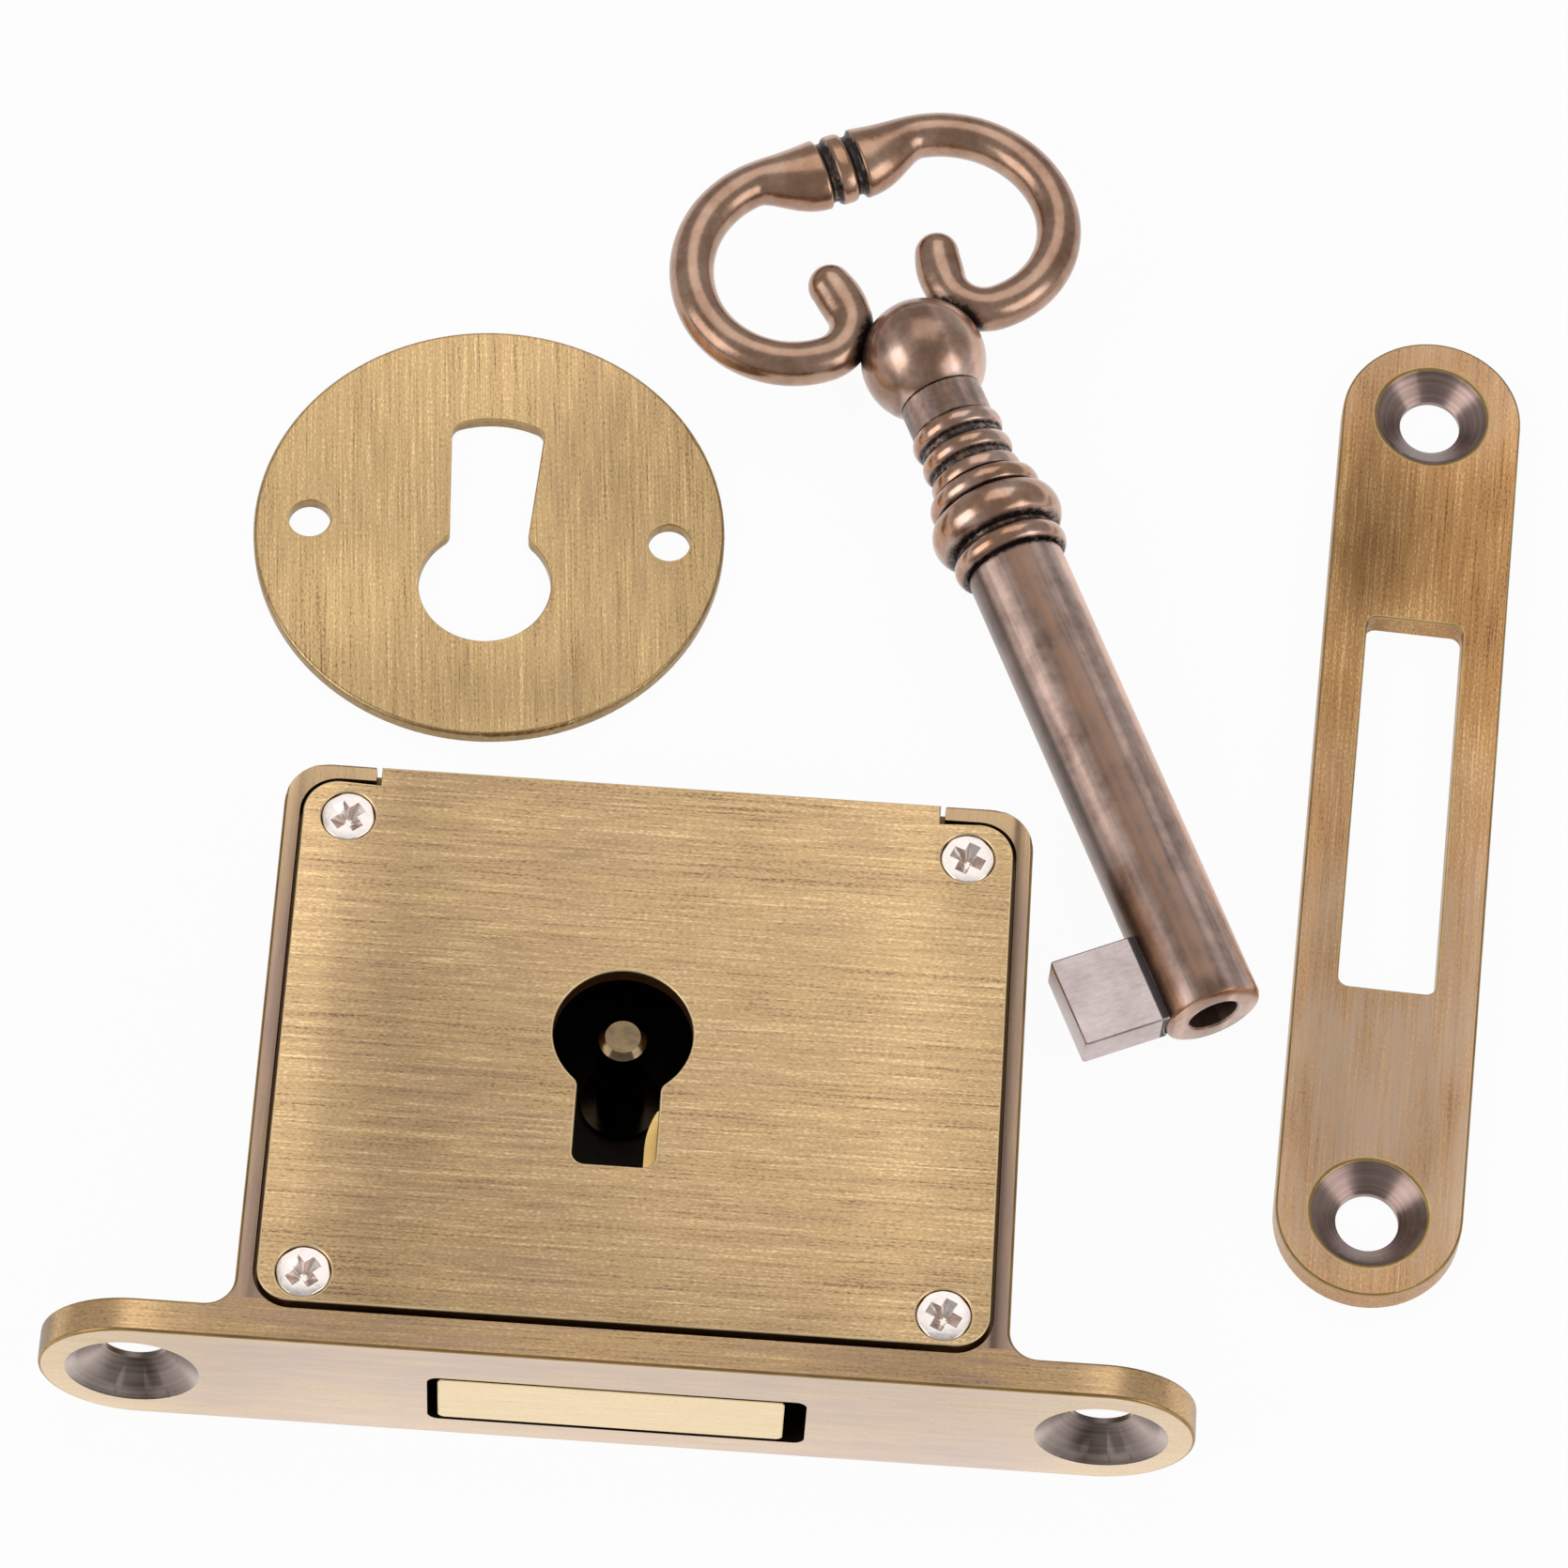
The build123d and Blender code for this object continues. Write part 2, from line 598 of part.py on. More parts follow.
def key_bit():
    """The flag that throws the bolt, a plain block joined to the barrel."""
    z1 = KEY_TIP - BIT_TIP_GAP
    flag = block(-BIT_REACH, 0, -BIT_THICK / 2, BIT_THICK / 2, z1 - BIT_LENGTH, z1)
    corners = flag.edges().filter_by(Axis.Y).group_by(Axis.X)[0]
    flag = fillet(corners, BIT_TIP_GAP)
    return flag - disc(barrel_r, 0, 0, 0, KEY_TIP + CUT)


def scroll():
    """The right-hand scroll: round wire along tangent arcs, from its curled tip to the top."""
    low = (SCROLL_MID_X, SCROLL_LOW_Y)
    side = (SCROLL_MID_X + SCROLL_R, SCROLL_LOW_Y + SCROLL_R)
    top_mid_x = side[0] - SCROLL_TOP_R
    top = (top_mid_x, side[1] + SCROLL_TOP_R)
    curl = (SCROLL_MID_X - CURL_R, SCROLL_LOW_Y + CURL_R)
    lean = CURL_TIP_R - math.sqrt(CURL_TIP_R**2 - CURL_TIP_RISE**2)
    tip = (curl[0] + lean, curl[1] + CURL_TIP_RISE)
    outer = TangentArc(low, side, tangent=(1, 0)) + TangentArc(side, top, tangent=(0, 1))
    inner = TangentArc(low, curl, tangent=(-1, 0)) + TangentArc(curl, tip, tangent=(0, 1))
    section = Plane((low[0], low[1], 0), x_dir=(0, 1, 0), z_dir=(1, 0, 0)) * Circle(WIRE_R)
    wire = sweep(section, path=outer)
    wire += sweep(section, path=inner)
    wire += Pos(tip[0], tip[1], 0) * Sphere(WIRE_R)
    return wire, top


def band(top):
    """The banded middle of the bow: both wires swell into it, with two grooves."""
    groove_end = BAND_HALF + BAND_GROOVE
    mid_y = top[1] - BAND_DROP
    swell_x = (groove_end + top[0]) / 2
    swell_y = (mid_y + top[1]) / 2 + SWELL_RISE

    def section(x, y, along, deep):
        place = Plane((x, y, 0), x_dir=(0, 1, 0), z_dir=(1, 0, 0))
        return place * Ellipse(along, deep)

    arm = loft([
        section(groove_end, mid_y, BAND_R, BAND_DEPTH_R),
        section(swell_x, swell_y, SWELL_R, SWELL_DEPTH_R),
        section(top[0], top[1], WIRE_R, WIRE_R),
    ])
    groove_deep = BAND_DEPTH_R - (BAND_R - BAND_GROOVE_R)
    core = extrude(section(0, mid_y, BAND_GROOVE_R, groove_deep), groove_end)
    bead = extrude(section(0, mid_y, BAND_R, BAND_DEPTH_R), BAND_HALF)
    return arm + core + bead


def key_bow(shank):
    """The whole bow, drawn in the XY plane with the key's axis along Y."""
    wire, top = scroll()
    half = wire + band(top)
    return half + mirror(half, Plane.YZ) - Rot(90, 0, 0) * shank


def lay_key(piece):
    """Lay a piece of the key, drawn along -Y from the ball, where the key lies."""
    start, end, edge_r, bulge = max(BEADS, key=lambda bead: bead[2] + bead[3])
    dip = math.degrees(math.atan2(edge_r + bulge - barrel_r, KEY_TIP - (start + end) / 2))
    bow_top = SCROLL_LOW_Y + SCROLL_R + SCROLL_TOP_R + WIRE_R
    middle = (KEY_TIP - bow_top) / 2
    level = Pos(0, middle, 0) * piece
    return Pos(KEY_MID_X, KEY_MID_Y, 0) * Rot(0, 0, KEY_TURN_DEG) * Rot(dip, 0, 0) * level


def escutcheon():
    """The round key plate, its keyhole's slot pointing away from the lock."""
    plate = extrude(Circle(ESCUTCHEON_DIA / 2), ESCUTCHEON_THICK)
    plate = fillet(plate.edges().group_by(Axis.Z)[-1], ESCUTCHEON_EDGE_R)
    reach = keyhole_reach + ESCUTCHEON_SLOT_EXTRA - ESCUTCHEON_SLOT_ARCH
    outline = keyhole(reach, ESCUTCHEON_SLOT_FLARE, ESCUTCHEON_SLOT_ARCH)
    hole = extrude(outline, ESCUTCHEON_THICK + 2 * CUT)
    plate -= Pos(0, -ESCUTCHEON_HOLE_DROP, -CUT) * Rot(0, 0, 180) * hole
    for side in (-1, 1):
        x = side * ESCUTCHEON_HOLE_SPACING / 2
        plate -= disc(ESCUTCHEON_HOLE_DIA / 2, x, 0, -CUT, ESCUTCHEON_THICK + CUT)
    return Pos(ESCUTCHEON_X, ESCUTCHEON_Y, 0) * plate


def strike_plate():
    """The strike plate, flat on the table: two sunk holes and the bolt's slot."""
    slot = RectangleRounded(STRIKE_SLOT_LENGTH, BOLT_HEIGHT + STRIKE_SLOT_EASE, SLOT_CORNER_R)
    slot_cut = Pos(0, 0, -CUT) * extrude(slot, STRIKE_THICK + 2 * CUT)
    plate = drilled_bar(STRIKE_THICK, STRIKE_SINK_DIA) - slot_cut
    return Pos(STRIKE_X, STRIKE_Y, 0) * Rot(0, 0, 90 + STRIKE_TURN_DEG) * plate


def build():
    """Every piece by its node's name, moved so that the kit's base centre is the origin."""
    shank = key_shank()
    along_y = Rot(90, 0, 0)
    pieces = {
        "housing": housing(),
        "cover_plate": cover_plate(),
        "cover_screws": cover_screws(),
        "drill_pin": drill_pin(),
        "bolt": bolt(),
        "bolt_stump": bolt_stump(),
        "bolt_guide_pins": bolt_guide_pins(),
        "lever_pivot": lever_pivot(),
        "key_bow": lay_key(key_bow(shank)),
        "key_shank": lay_key(along_y * shank),
        "key_bit": lay_key(along_y * key_bit()),
        "escutcheon": escutcheon(),
        "strike_plate": strike_plate(),
    }
    for index, name in enumerate(LEVERS):
        pieces[f"lever_{name}"] = lever(index)
        pieces[f"lever_spring_{name}"] = lever_spring(index)
    key_names = [name for name in pieces if name.startswith("key_")]
    key_low = min(pieces[name].bounding_box().min.Z for name in key_names)
    for name in key_names:
        pieces[name] = Pos(0, 0, -key_low) * pieces[name]
    boxes = [piece.bounding_box() for piece in pieces.values()]
    mid_x = (min(b.min.X for b in boxes) + max(b.max.X for b in boxes)) / 2
    mid_y = (min(b.min.Y for b in boxes) + max(b.max.Y for b in boxes)) / 2
    move = Pos(-mid_x, -mid_y, 0)
    return {name: move * piece for name, piece in pieces.items()}, (mid_x, mid_y)


pieces, middle = build()
os.makedirs("parts", exist_ok=True)
for name, piece in pieces.items():
    export_step(piece, f"parts/{name}.step")
print("base centre from the faceplate's middle:", round(middle[0], 4), round(middle[1], 4))
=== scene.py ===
"""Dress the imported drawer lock, its key, escutcheon and strike plate.

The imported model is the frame. Plates and the case are softened copies of their solids, the key is
turned and swept anew, and every piece gets a finish worked out from its own place on the metal.
Lengths are millimetres until they become mesh, and places are measured from the foot of the
faceplate's front, with X along the faceplate and Y towards the back of the case.
"""

from __future__ import annotations

import logging
import math
from dataclasses import dataclass, field
from enum import Enum
from typing import Callable, Iterable, Sequence

import bmesh
import bpy
from mathutils import Euler, Matrix, Vector

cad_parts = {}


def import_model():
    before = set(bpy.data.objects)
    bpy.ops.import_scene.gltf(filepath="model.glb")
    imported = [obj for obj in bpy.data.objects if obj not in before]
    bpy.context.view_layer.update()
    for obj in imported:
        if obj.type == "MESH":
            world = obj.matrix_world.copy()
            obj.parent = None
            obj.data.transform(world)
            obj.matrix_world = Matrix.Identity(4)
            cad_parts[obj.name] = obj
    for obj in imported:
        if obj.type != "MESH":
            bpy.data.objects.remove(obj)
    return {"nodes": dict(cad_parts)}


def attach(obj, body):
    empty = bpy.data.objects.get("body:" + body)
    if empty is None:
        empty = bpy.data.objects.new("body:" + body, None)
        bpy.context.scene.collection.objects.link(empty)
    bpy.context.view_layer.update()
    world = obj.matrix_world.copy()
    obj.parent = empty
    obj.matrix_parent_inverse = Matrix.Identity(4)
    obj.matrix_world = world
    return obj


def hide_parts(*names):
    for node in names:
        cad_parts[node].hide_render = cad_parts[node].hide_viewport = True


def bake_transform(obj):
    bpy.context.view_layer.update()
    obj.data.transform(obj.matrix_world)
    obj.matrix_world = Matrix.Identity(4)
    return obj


LOG = logging.getLogger("drawer_lock")

MM = 0.001
ORIGIN = Vector((-11.0924, -54.6043, 0.0))
WHITE = (1.0, 1.0, 1.0, 1.0)
NEAR = 0.05  # millimetres within which an edge or a face counts as lying on a plane
FACING = 0.9  # share of a normal along an axis above which a face looks that way
WELD = 0.0001  # millimetres within which a new mesh's corners are one
STITCH = 0.0005  # the same for the solids and the turned shank
FLAT_DEG = 0.5  # faces of a solid that bend less than this are one
NOISE_GAIN = 2.2  # brings most of a noise to within half a unit of zero

Pair = tuple[float, float]
Triple = tuple[float, float, float]
Rgba = tuple[float, float, float, float]
Station = tuple[float, float, float, float]
Stops = tuple[Pair, ...]
Values = dict[int | str, object]


def place(x: float, y: float, z: float = 0.0) -> Vector:
    """A point measured from the faceplate's foot in millimetres, in the frame's metres."""
    return (Vector((x, y, z)) + ORIGIN) * MM


def measured(point: Vector) -> Vector:
    """A point of the frame as millimetres from the faceplate's foot."""
    return point / MM - ORIGIN


def tone(*screen: int) -> Rgba:
    """Bring a colour from the screen into a shader's linear light.

    Args:
        screen: red, green and blue, from 0 to 255.

    Returns:
        The same three from 0 to 1, and an alpha of 1.
    """
    shares = [level / 255.0 for level in screen]
    red, green, blue = (s / 12.92 if s <= 0.04045 else ((s + 0.055) / 1.055) ** 2.4 for s in shares)
    return red, green, blue, 1.0


def spread(start: float, end: float, steps: int) -> list[float]:
    """Evenly spaced numbers from start to end, both of them included."""
    return [start + (end - start) * step / steps for step in range(steps + 1)]


def put(name: str, data: bpy.types.ID) -> bpy.types.Object:
    """Put a new object into the scene.

    Args:
        name: its name.
        data: its mesh, lamp or camera.

    Returns:
        The object.
    """
    made = bpy.data.objects.new(name, data)
    bpy.context.scene.collection.objects.link(made)
    return made


def worked(
    mesh: bpy.types.Mesh, kind: str, settings: dict[str, object], values: dict[str, object] | None = None
) -> bpy.types.Mesh:
    """Run one modifier on a mesh.

    Args:
        mesh: the mesh to start from.
        kind: the modifier's type.
        settings: its properties.
        values: what its node tree's inputs are set to, by their identifiers.

    Returns:
        The plain mesh that comes out.
    """
    holder = put(mesh.name, mesh)
    modifier = holder.modifiers.new(kind, kind)
    for key, value in settings.items():
        setattr(modifier, key, value)
    for key, value in (values or {}).items():
        modifier[key] = value
    bpy.context.view_layer.update()
    evaluated = holder.evaluated_get(bpy.context.evaluated_depsgraph_get())
    result = bpy.data.meshes.new_from_object(evaluated)
    bpy.data.objects.remove(holder)
    return result


def shaded(mesh: bpy.types.Mesh, sharp_deg: float) -> None:
    """Shade a mesh smooth, but sharp where it bends by more than this."""
    mesh.polygons.foreach_set("use_smooth", [True] * len(mesh.polygons))
    mesh.set_sharp_from_angle(angle=math.radians(sharp_deg))


def closed(mesh: bpy.types.Mesh, sharp_deg: float) -> bpy.types.Mesh:
    """Weld a mesh, point its faces outwards and shade it.

    Args:
        mesh: the mesh to change.
        sharp_deg: edges that bend more than this stay sharp.

    Returns:
        The same mesh.
    """
    bm = bmesh.new()
    bm.from_mesh(mesh)
    bmesh.ops.remove_doubles(bm, verts=bm.verts, dist=WELD * MM)
    bmesh.ops.dissolve_degenerate(bm, edges=bm.edges, dist=WELD * MM)
    bmesh.ops.recalc_face_normals(bm, faces=bm.faces)
    bm.to_mesh(mesh)
    bm.free()
    shaded(mesh, sharp_deg)
    return mesh


def lofted(name: str, corners: Sequence[Vector], sides: int) -> bpy.types.Mesh:
    """A skin over rings of corners, each joined to the next, with flat ends.

    Args:
        name: the mesh's name.
        corners: the rings' corners, ring after ring.
        sides: how many corners each ring has.

    Returns:
        The mesh.
    """
    count = len(corners)
    faces = [
        (foot + k, foot + (k + 1) % sides, foot + sides + (k + 1) % sides, foot + sides + k)
        for foot in range(0, count - sides, sides)
        for k in range(sides)
    ]
    mesh = bpy.data.meshes.new(name)
    mesh.from_pydata(corners, [], [*faces, tuple(range(sides)), tuple(range(count - sides, count))])
    return mesh


class Wire:
    """A node's socket that takes part in Python arithmetic."""

    def __init__(self, graph: Graph, socket: bpy.types.NodeSocket) -> None:
        """Keep the socket and the graph that new nodes go into."""
        self.graph = graph
        self.socket = socket

    def math(self, operation: str, *others: Wire | float) -> Wire:
        """One Math node on this wire and the others."""
        values = dict(enumerate((self, *others)))
        return self.graph.node("ShaderNodeMath", {"operation": operation}, values)

    def __add__(self, other: Wire | float) -> Wire:
        """self + other."""
        return self.math("ADD", other)

    __radd__ = __add__

    def __sub__(self, other: Wire | float) -> Wire:
        """self - other."""
        return self.math("SUBTRACT", other)

    def __rsub__(self, other: Wire | float) -> Wire:
        """other - self."""
        return self.graph.node("ShaderNodeMath", {"operation": "SUBTRACT"}, {0: other, 1: self})

    def __mul__(self, other: Wire | float) -> Wire:
        """self * other."""
        return self.math("MULTIPLY", other)

    __rmul__ = __mul__

    def clamp(self) -> Wire:
        """The wire kept between 0 and 1."""
        return self.math("MINIMUM", 1.0).math("MAXIMUM", 0.0)

    def smooth(self, low: float, high: float) -> Wire:
        """0 below low, 1 above high and an eased step between them."""
        values = {"Value": self, "From Min": low, "From Max": high}
        return self.graph.node("ShaderNodeMapRange", {"interpolation_type": "SMOOTHSTEP"}, values)


class Graph:
    """A node tree that is filled node by node."""

    def __init__(self, tree: bpy.types.NodeTree) -> None:
        """Keep the tree, emptied."""
        self.tree = tree
        tree.nodes.clear()

    def make(
        self, kind: str, settings: Values | None = None, inputs: Values | None = None
    ) -> bpy.types.Node:
        """Add one node.

        Args:
            kind: the node's type.
            settings: properties to set first; "stops" fills a colour ramp.
            inputs: a value or a wire for each socket, by its name or number.

        Returns:
            The node.
        """
        made = self.tree.nodes.new(kind)
        for key, value in (settings or {}).items():
            if key == "stops":
                self._fill_ramp(made.color_ramp, value)
            else:
                setattr(made, key, value)
        for key, value in (inputs or {}).items():
            if isinstance(value, Wire):
                self.tree.links.new(value.socket, made.inputs[key])
            else:
                made.inputs[key].default_value = value
        return made

    def node(
        self, kind: str, settings: Values | None = None, inputs: Values | None = None,
        output: int | str = 0,
    ) -> Wire:
        """Add one node and return one of its outputs as a wire."""
        return Wire(self, self.make(kind, settings, inputs).outputs[output])

    @staticmethod
    def _fill_ramp(ramp: bpy.types.ColorRamp, stops: Sequence[tuple[float, Rgba]]) -> None:
        """Give a colour ramp its stops.

        Args:
            ramp: the ramp.
            stops: (place, colour) pairs, in order of place.
        """
        while len(ramp.elements) > 1:
            ramp.elements.remove(ramp.elements[-1])
        ramp.interpolation = "EASE"
        ramp.elements[0].position, ramp.elements[0].color = stops[0]
        for position, colour in stops[1:]:
            ramp.elements.new(position).color = colour


class Surface(Graph):
    """The node tree of one finish."""

    def __init__(self, name: str) -> None:
        """Start an empty material.

        Args:
            name: the material's name.
        """
        self.material = bpy.data.materials.new(name)
        self.material.use_nodes = True
        super().__init__(self.material.node_tree)

    def local(self, centre: Vector, turn: Euler) -> tuple[Wire, Wire, Wire]:
        """Object coordinates in millimetres about a piece's own centre and axes.

        Args:
            centre: the piece's centre in the frame, in metres.
            turn: how the piece is turned there.

        Returns:
            The three coordinates.
        """
        coords = self.node("ShaderNodeTexCoord", output="Object")
        values = {"Vector": coords, "Location": centre, "Rotation": turn, "Scale": (MM, MM, MM)}
        turned = self.node("ShaderNodeMapping", {"vector_type": "TEXTURE"}, values)
        split = self.make("ShaderNodeSeparateXYZ", inputs={0: turned})
        x, y, z = (Wire(self, output) for output in split.outputs)
        return x, y, z

    def noise(
        self, where: Sequence[Wire], scale: Triple, detail: float = 2.0, rough: float = 0.5
    ) -> Wire:
        """Noise about zero, most of it within half a unit either way.

        Args:
            where: three coordinates.
            scale: what each of them is multiplied by.
            detail: how many finer layers are added.
            rough: how strong those are.

        Returns:
            The noise as a wire.
        """
        stretched = dict(enumerate(axis * share for axis, share in zip(where, scale)))
        vector = self.node("ShaderNodeCombineXYZ", inputs=stretched)
        values = {"Vector": vector, "Scale": 1.0, "Detail": detail, "Roughness": rough}
        return (self.node("ShaderNodeTexNoise", {"noise_dimensions": "3D"}, values) - 0.5) * NOISE_GAIN

    def profile(self, along: Wire, stops: Stops) -> Wire:
        """A factor that changes along one coordinate.

        Args:
            along: the coordinate, in millimetres.
            stops: (place, factor) pairs, in order of place.

        Returns:
            The factor as a wire.
        """
        first, last = stops[0][0], stops[-1][0]
        most = max(factor for _, factor in stops)
        share = (along - first) * (1.0 / (last - first))
        greys = [((p - first) / (last - first), (f / most, f / most, f / most, 1.0)) for p, f in stops]
        return self.ramp(share.clamp(), greys) * most

    def ramp(self, amount: Wire, stops: Sequence[tuple[float, Rgba]]) -> Wire:
        """A colour from a ramp of (place, colour) stops between 0 and 1."""
        return self.node("ShaderNodeValToRGB", {"stops": stops}, {0: amount})

    def blend(self, amount: Wire, low: Wire | Rgba, high: Wire | Rgba) -> Wire:
        """A colour between two, by an amount that is kept between 0 and 1."""
        return self.node("ShaderNodeMix", {"data_type": "RGBA"}, {0: amount.clamp(), 6: low, 7: high}, 2)

    def scaled(self, colour: Wire, factor: Wire) -> Wire:
        """A colour made lighter or darker by a factor."""
        return self.node("ShaderNodeVectorMath", {"operation": "SCALE"}, {0: colour, "Scale": factor})

    def with_painted_shading(self, colour: Wire, *profiles: tuple[Wire, Stops]) -> Wire:
        """Paint light and shade into a colour along some coordinates.

        Args:
            colour: the colour to start from.
            profiles: (coordinate, stops) pairs, of which those without stops do nothing.

        Returns:
            The colour as a wire.
        """
        for along, stops in profiles:
            if stops:
                colour = self.scaled(colour, self.profile(along, stops))
        return colour

    def finish(
        self, colour: Wire, rough: Wire, height: Wire, relief_mm: float,
        metal: float = 1.0, coat: Pair = (0.0, 0.1),
    ) -> bpy.types.Material:
        """Close the graph with one Principled shader.

        Args:
            colour: the metal's colour.
            rough: its roughness.
            height: the relief of its face.
            relief_mm: how deep one unit of that is.
            metal: how metallic it is.
            coat: the lacquer's weight and roughness.

        Returns:
            The finished material.
        """
        bump = self.node("ShaderNodeBump", inputs={"Distance": relief_mm * MM, "Height": height})
        shader = self.node("ShaderNodeBsdfPrincipled", inputs={
            "Metallic": metal, "Coat Weight": coat[0], "Coat Roughness": coat[1],
            "Base Color": colour, "Roughness": rough.clamp(), "Normal": bump,
        })
        self.make("ShaderNodeOutputMaterial", inputs={"Surface": shader})
        return self.material


class Recipe(Graph):
    """A Geometry Nodes tree with named inputs, run once on a mesh and then dropped."""

    def __init__(self, name: str) -> None:
        """Start a tree that takes and gives geometry.

        Args:
            name: the tree's name.
        """
        super().__init__(bpy.data.node_groups.new(name, "GeometryNodeTree"))
        for way in ("INPUT", "OUTPUT"):
            self.tree.interface.new_socket("Geometry", in_out=way, socket_type="NodeSocketGeometry")
        self.source = self.make("NodeGroupInput")
        self.given = Wire(self, self.source.outputs[0])
        self.values: dict[str, object] = {}

    def size(self, name: str, value: object, kind: str = "NodeSocketFloat") -> Wire:
        """Add a named input.

        Args:
            name: its name.
            value: what it is set to.
            kind: its socket's type.

        Returns:
            The wire from it.
        """
        made = self.tree.interface.new_socket(name, in_out="INPUT", socket_type=kind)
        self.values[made.identifier] = value
        return Wire(self, self.source.outputs[name])

    def run(self, mesh: bpy.types.Mesh, geometry: Wire, material: bpy.types.Material) -> bpy.types.Mesh:
        """End the tree with what is instanced made real and the material set, and run it.

        Args:
            mesh: the mesh that the tree is given.
            geometry: what it makes of that.
            material: the finish to set.

        Returns:
            The plain mesh that comes out.
        """
        real = self.node("GeometryNodeRealizeInstances", inputs={0: geometry})
        painted = self.node("GeometryNodeSetMaterial", inputs={0: real, "Material": material})
        self.make("NodeGroupOutput", inputs={0: painted})
        return worked(mesh, "NODES", {"node_group": self.tree}, self.values)


class Brushing(Enum):
    """Which of a piece's own axes its brush lines run along."""

    ALONG_X = 0
    ALONG_Y = 1


@dataclass(frozen=True)
class BrushedBrass:
    """Antique brass with brush lines, patina clouds, optional lighter specks and painted light and shade.

    Stops are places in millimetres along one of the piece's axes, each with its factor of painted light
    or shade, and a stain is its middle, its half width and height and how much it darkens.
    """

    name: str
    dark: Rgba
    mid: Rgba
    light: Rgba
    brushing: Brushing = Brushing.ALONG_X
    centre: Vector = field(default_factory=lambda: place(0, 0))
    turn_deg: float = 0.0
    # painted light and shade: factors along the piece's axes that lighten or darken its colour
    painted_shading_x: Stops = ()
    painted_shading_y: Stops = ()
    painted_shading_z: Stops = ()
    patina: Rgba = (0.2, 0.15, 0.12, 1.0)
    patina_axis: int = 1
    patina_stops: Stops = ((-60.0, 1.0), (60.0, 1.0))
    patina_level: float = 0.35
    patina_even: float = 0.25
    streak: float = 1.35
    grain: float = 0.45
    cloud: float = 0.3
    cloud_mm: float = 9.0
    speck: float = 0.0
    stains: tuple[tuple[float, float, float, float, float], ...] = ()
    rough: float = 0.36
    relief_mm: float = 0.004
    line_mm: float = 0.14
    waver_mm: float = 0.12
    long_share: float = 0.42
    short_share: float = 0.44
    band_share: float = 0.15

    def build(self) -> bpy.types.Material:
        """Work the finish up from its fields.

        Returns:
            The material.
        """
        graph = Surface(self.name)
        x, y, z = graph.local(self.centre, Euler((0, 0, math.radians(self.turn_deg))))
        along, across = (x, y) if self.brushing is Brushing.ALONG_X else (y, x)
        straight = (along, across, z)
        wavy = (along, across + graph.noise(straight, (0.05, 0.25, 0.25), 1.0) * self.waver_mm, z)
        fine = 1.0 / self.line_mm
        long_lines = graph.noise(wavy, (0.04, fine * 0.8, fine * 0.8), 1.0)
        short_lines = graph.noise(wavy, (0.23, fine, fine), 1.0)
        speckle = graph.noise(straight, (3.6, 8.0, 8.0), 0.0)
        bands = graph.noise(straight, (0.07, 0.9, 0.9))
        clouds = graph.noise(straight, (0.6 / self.cloud_mm, 1.3 / self.cloud_mm, 0.15))
        lines = long_lines * self.long_share + short_lines * self.short_share
        lines = lines + speckle * self.grain + bands * self.band_share
        level = lines * self.streak + clouds * self.cloud
        tones = [(0.0, self.dark), (0.5, self.mid), (1.0, self.light)]
        colour = graph.ramp((0.5 + level * 0.5).clamp(), tones)
        worn_off = graph.noise(wavy, (0.12, 0.9, 0.9), 3.0, 0.7) * 0.9 + clouds * 0.7 + self.patina_even
        stained = graph.profile((x, y, z)[self.patina_axis], self.patina_stops) * worn_off
        colour = graph.blend(stained * self.patina_level, colour, self.patina)
        if self.speck > 0.0:
            grains = graph.noise((x, y, z), (2.4, 2.4, 2.4), 0.0).smooth(0.82, 1.0)
            colour = graph.blend(grains * self.speck, colour, self.light)
        # paint light and shade along the piece's axes
        colour = graph.with_painted_shading(colour, (x, self.painted_shading_x), (y, self.painted_shading_y), (z, self.painted_shading_z))
        for at_x, at_y, half_x, half_y, depth in self.stains:
            off_x, off_y = (x - at_x) * (1.0 / half_x), (y - at_y) * (1.0 / half_y)
            inside = 1.0 - (off_x * off_x + off_y * off_y + clouds * 0.4).math("SQRT").smooth(0.1, 1.2)
            colour = graph.scaled(colour, 1.0 - inside * depth)
        return graph.finish(colour, self.rough - level * 0.06, lines, self.relief_mm)


@dataclass(frozen=True)
class TurnedCone:
    """A sunk cone of dark metal with faint rings round the hole and a painted sheen lightening its sides.
    """

    name: str
    base: Rgba
    lift: Rgba
    centre: Vector
    turn: Euler
    hole_reach: float
    rough: float = 0.25
    level: float = 0.45
    # painted sheen: how much the cone's sides are lightened, and how narrow that band is
    painted_sheen: float = 0.0
    painted_sheen_power: float = 6.0
    groove: float = 0.5
    cloud: float = 0.4
    relief_mm: float = 0.006

    def build(self) -> bpy.types.Material:
        """Work the finish up from its fields.

        Returns:
            The material.
        """
        graph = Surface(self.name)
        x, y, z = graph.local(self.centre, self.turn)
        off = x.math("ABSOLUTE") - self.hole_reach
        radius = (off * off + y * y).math("SQRT")
        rings = graph.noise((radius, z, x), (5.0, 0.2, 0.02), 3.0, 0.7)
        sweep = graph.noise((off, y, radius), (0.35, 0.35, 0.2), 1.0)
        # painted sheen: lightens the cone towards its sides
        sides = off.math("ABSOLUTE").math("DIVIDE", radius).math("POWER", self.painted_sheen_power)
        level = self.level + rings * self.groove + sweep * self.cloud + sides * self.painted_sheen
        colour, rough = graph.blend(level, self.base, self.lift), self.rough + rings * 0.05
        return graph.finish(colour, rough, rings, self.relief_mm, metal=0.9, coat=(0.5, 0.42))


